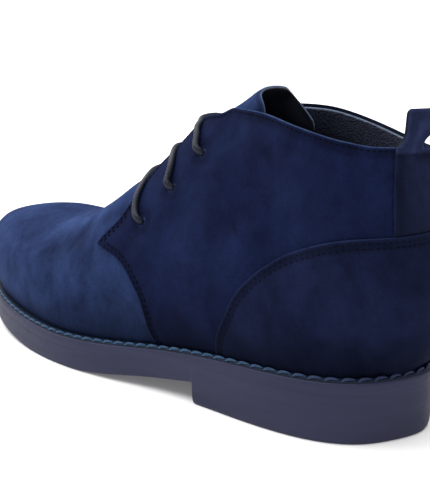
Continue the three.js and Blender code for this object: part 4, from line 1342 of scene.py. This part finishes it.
def make_sole():
    """The moulded sole: rounded wall with a shallow groove, heel block, arch and toe spring."""
    rings = []
    for inset, height, from_top in zip(*SOLE_WALL.values()):
        outer, inner, low = edge_ring(inset)
        ring = []
        for half in (outer, inner):
            z = sole_top(half[:, 0]) - height if from_top else low + height
            ring.append(np.column_stack([half, z]))
        rings.append(np.concatenate([ring[0], ring[1][::-1]]))
    loops = np.array(rings)
    levels, around = loops.shape[:2]
    stations = around // 2
    places = [loops.reshape(-1, 3)]
    faces = ring_faces(levels, around)
    total = levels * around
    for level, flip in ((0, False), (levels - 1, True)):
        outer, inner = loops[level][:stations], loops[level][stations:][::-1]
        between = []
        for part in np.linspace(0, 1, 9)[1:-1]:
            mid = outer * (1 - part) + inner * part
            if level == 0:
                mid[:, 2] = sole_top(mid[:, 0])
            between.append(np.arange(stations) + total)
            places.append(mid)
            total += stations
        first = level * around + np.arange(stations)
        last = level * around + around - 1 - np.arange(stations)
        columns = [first, *between, last]
        for a, b in zip(columns[:-1], columns[1:]):
            for j in range(stations - 1):
                face = (a[j], a[j + 1], b[j + 1], b[j])
                faces.append(tuple(int(v) for v in (face if flip else face[::-1])))
    places = np.concatenate(places)
    # points that coincide at the toe and heel are joined, which leaves some faces with fewer corners
    keys = np.round(places / 0.002).astype(np.int64)
    _, first, back = np.unique(keys, axis=0, return_index=True, return_inverse=True)
    back = back.reshape(-1)
    joined = [tuple(dict.fromkeys(int(back[v]) for v in face)) for face in faces]
    clean = [corners for corners in joined if len(corners) > 2]
    piece = cobble("moulded_sole", places[first], clean, ("sole",), (FINISH["rubber"],))
    face_outward(piece)
    return piece


def face_outward(piece):
    """Turns every face of a closed piece to the outside."""
    work = bmesh.new()
    work.from_mesh(piece.data)
    bmesh.ops.recalc_face_normals(work, faces=work.faces)
    work.to_mesh(piece.data)
    work.free()


# section of the welt: how far in from the sole's edge, and the height above the sole's top
WELT_SHAPE = named(
    ("inset", "height"), (1.1, -0.3), (0.85, 0.1), (0.85, 0.4), (1.1, 0.65), (1.7, 0.8),
    (2.8, 0.95), (5.6, 1.5), (5.8, -0.3))


def welt_ring(inset, height):
    """A line round the sole's top face, in from its edge and above it."""
    outer, inner = (side_outline(table, side, inset, 900)[0] for side, table in OUTLINES)
    loop = np.concatenate([outer, inner[::-1][1:]])
    return np.column_stack([loop, sole_top(loop[:, 0]) + height])


WELT_STATIONS = 620


def make_welt():
    """The narrow strip in the corner between the sole and the upper."""
    rings = []
    for inset, height in zip(*WELT_SHAPE.values()):
        loop = welt_ring(inset, height)
        travelled = lengths(loop)
        part = np.linspace(0, 1, WELT_STATIONS + 1)[:-1]
        rings.append(spots(part * travelled[-1], travelled, loop))
    faces = ring_faces(len(rings), WELT_STATIONS, True)
    piece = cobble("welt_strip", np.concatenate(rings), faces, ("welt",),
                   (FINISH["welt"],))
    face_outward(piece)
    return piece


# a welt stitch at nine places along it, in mm: height over the welt, slant inwards and half width
WELT_STITCH = {"bow": np.array([-0.6, -0.05, 0.25, 0.4, 0.48, 0.5, 0.4, 0.1, -0.6]),
               "slant": np.linspace(0.5, -0.4, 9),
               "width": 0.58 * np.array([0.5, 0.7, 0.85, 0.95, 1.05, 1.1, 1.1, 0.95, 0.6])}


def make_welt_stitches():
    """Thick slanting stitches lying one after another on the welt, all the way round."""
    loop = welt_ring(1.6, 0.95)
    travelled = lengths(loop)
    count = int(travelled[-1] / WELT_PITCH)
    pitch = travelled[-1] / count
    up = np.array([0, 0, 1.0])
    parts = []
    for i in range(count):
        path = spots((i + np.linspace(0.04, 0.98, 9)) * pitch, travelled, loop)
        inward = unit(np.cross(up, unit(path[-1] - path[0]))) * -1
        path = path + up * WELT_STITCH["bow"][:, None] + inward * WELT_STITCH["slant"][:, None]
        parts.append(tube(path, WELT_STITCH["width"], 9))
    places, faces = gathered(parts)
    return cobble("welt_stitches", places, faces, (), (FINISH["welt_thread"],))


# ---- seam stitches ---------------------------------------------------------------------------------
def make_seam_stitches():
    """The dark rows of stitches along the seams."""
    parts = []
    quarter_height = QUARTER - 0.05
    for side in SIDES:
        seam, facing, collar = SEAMS[side]
        for inset in (1.7, 3.6):
            for run in stitch_line(QUARTER_EDGE, inset, quarter_height, seam[0], facing[2]):
                parts += stitches(run, 0.24)
        for run in stitch_line(QUARTER_EDGE, 1.7, quarter_height, facing[2], collar[0]):
            parts += stitches(run, 0.2, 2.6)
    outer_collar, inner_collar = SEAMS[1][2], SEAMS[-1][2]
    for run in stitch_line(QUARTER_EDGE, 1.7, quarter_height, outer_collar[0], inner_collar[0]):
        parts += stitches(run, 0.2, 2.4)
    for inset in (2.0, 4.0):
        for run in stitch_line(COUNTER_EDGE, inset, OVERLAY - 0.3):
            parts += stitches(run, 0.2, 2.7)
    places, faces = gathered(parts)
    return cobble("seam_stitches", places, faces, (), (FINISH["seam_thread"],))


# ---- laces --------------------------------------------------------------------------------------
# a bar's way from its eyelet: distance back towards the ridge, height over the form, and how far
# it bows towards the toe, in sections
LACE_RISE = named(
    ("back", "lift", "ahead"), (-1.0, -4.4, 0), (-0.5, -2.2, 0), (0, 0, 0.005), (0.7, 1.5, 0.02),
    (2.2, 2.3, 0.05), (4.8, 2.4, 0.085), (9, 2.35, 0.11), (14, 2.3, 0.11))
# and on over the throat: distance from the ridge
OVER_THROAT = named(
    ("reach", "lift", "ahead"), (16, 2.4, 0.17), (11, 1.7, 0.24), (6, 0.5, 0.29), (1.8, -0.2, 0.31))
# each lace, from the toe up: its share of the bow over the throat, how much lower it lies there, the
# height at which it meets the tongue, and how far it leans towards the ankle, in sections
LACES = named(
    ("slack", "sunk", "least", "lean"), (1.2, 2.6, -0.4, 0), (1.2, 1.0, -1.1, 0.14),
    (0.6, 0.8, -1.1, 0.1))
LEAN_OVER = 10  # mm from the eyelet over which it comes to lean


def lace_path(i):
    """A lace bar's line, from inside one eyelet over the throat to inside the other."""
    at, reach = EYELETS["at"][i], EYELETS["reach"][i]
    from_ridge = np.append(reach - LACE_RISE["back"], OVER_THROAT["reach"])
    lace = {name: values[i] for name, values in LACES.items()}
    ahead = np.append(LACE_RISE["ahead"], OVER_THROAT["ahead"] * lace["slack"])
    ahead = ahead - lace["lean"] * smooth_step(reach - from_ridge, 0, LEAN_OVER)
    over = np.maximum(OVER_THROAT["lift"] - lace["sunk"], lace["least"])
    lifts = np.append(LACE_RISE["lift"], over)
    halves = {}
    for side in SIDES:
        points = [form_point(at - forward, side * distance)
                  for distance, forward in zip(from_ridge, ahead)]
        halves[side] = seated(points, lifts)[0]
    return flowing(np.concatenate([halves[1], halves[-1][::-1]]), 0.35)


def braid(travelled, angle):
    """Plaited strands of a round cord: crossing ridges round and along it."""
    strands, lay, depth = 4, 7.5, 0.075  # strands each way, mm for a full turn, and height in mm
    turn = 2 * math.pi / lay
    left = np.sin(strands * angle + travelled * turn * strands)
    right = np.sin(strands * angle - travelled * turn * strands)
    return depth * np.maximum(left, right)


def make_lace(i):
    """One bar of the lace, by its place from the toe up."""
    places, faces = tube(lace_path(i), CORD, 24, braid)
    name = f"lace_bar_{i + 1}"
    return cobble(name, places, faces, (f"lace_{i + 1}",), (FINISH["cord"],))


# ---- room ---------------------------------------------------------------------------------------
def make_floor():
    """A plain pale floor, wide enough to fill the view."""
    material, n, shader = finish_material("studio floor")
    where = n.place()
    tone = n.ranged(n.noise(where, 3, 2), 0.3, 0.7)
    n.link(n.mixed(tone, (0.93, 0.93, 0.93, 1), (0.95, 0.95, 0.95, 1)), shader.inputs["Base Color"])
    # a little light of its own keeps the shadows on it pale
    set_inputs(shader, Roughness=0.9, Specular_IOR_Level=0.1, Emission_Color=(1, 1, 1, 1),
               Emission_Strength=0.12)
    half = 6.0  # metres
    mesh = bpy.data.meshes.new("floor")
    corners = [(-half, -half, 0), (half, -half, 0), (half, half, 0), (-half, half, 0)]
    mesh.from_pydata(corners, [], [(0, 1, 2, 3)])
    mesh.materials.append(material)
    floor = bpy.data.objects.new("floor", mesh)
    bpy.context.scene.collection.objects.link(floor)


def in_frame(x, y, z):
    """A place on the boot's axes as a place in the frame."""
    return Vector(np.array([x, y, z]) / 1000 + SHIFT)


def turned_to(place, target, up=(0, 0, 1)):
    """A placing whose -Z looks from a place to a target."""
    back = (place - target).normalized()
    right = Vector(up).cross(back).normalized()
    return Matrix.Translation(place) @ Matrix((right, back.cross(right), back)).transposed().to_4x4()


def make_sun(name, azimuth, height, strength, softness, colour):
    """A wide soft light from a direction: degrees round from +X towards +Y, and above the floor."""
    light = bpy.data.lights.new(name, "SUN")
    light.energy = strength
    light.angle = math.radians(softness)
    light.color = colour
    lamp = bpy.data.objects.new(name, light)
    bpy.context.scene.collection.objects.link(lamp)
    a, h = math.radians(azimuth), math.radians(height)
    way = Vector((math.cos(a) * math.cos(h), math.sin(a) * math.cos(h), math.sin(h)))
    lamp.matrix_world = turned_to(way, Vector((0, 0, 0)), (0.3, 0.9, 0.1))


CAMERA = {"azimuth": 220.3, "elevation": 12.3, "distance": 384.0, "target": (115.1, 0.0, 64.5),
          "lens": 55.97}


def make_camera():
    """Low behind the outer side of the boot, close to it."""
    a, h = math.radians(CAMERA["azimuth"]), math.radians(CAMERA["elevation"])
    back = np.array([math.sin(a) * math.cos(h), -math.cos(a) * math.cos(h), math.sin(h)])
    place = np.array(CAMERA["target"]) + back * CAMERA["distance"]
    camera = bpy.data.cameras.new("camera")
    camera.lens = CAMERA["lens"]
    camera.sensor_width = 36
    camera.clip_start = 0.01
    item = bpy.data.objects.new("camera", camera)
    bpy.context.scene.collection.objects.link(item)
    item.matrix_world = turned_to(in_frame(*place), in_frame(*CAMERA["target"]))
    bpy.context.scene.camera = item


def make_room():
    """Floor, pale world and two wide lights."""
    make_floor()
    world = bpy.data.worlds.new("studio")
    world.use_nodes = True
    n = Nodes(world.node_tree)
    seen = n.add("ShaderNodeLightPath").outputs["Is Camera Ray"]
    sky = world.node_tree.nodes["Background"]
    sky.inputs["Color"].default_value = (1, 1, 1, 1)
    n.link(n.ranged(seen, 0, 1, 0.36, 1.05), sky.inputs["Strength"])
    bpy.context.scene.world = world
    make_sun("soft top", 30, 80, 3.1, 70, (1.0, 1.0, 1.0))
    make_sun("key over the toe", 5, 45, 2.0, 60, (1.0, 0.99, 0.98))
    bpy.context.scene.view_settings.view_transform = "Standard"


# ---- boot ---------------------------------------------------------------------------------------
make_camera()
make_vamp()
make_quarters()
make_lining()
make_counter()
make_back_strip()
make_sole()
make_welt()
make_welt_stitches()
for lace in range(len(EYELETS["at"])):
    make_lace(lace)
make_seam_stitches()
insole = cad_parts["insole"]
insole.data.materials.clear()
insole.data.materials.append(FINISH["lining"])
make_room()
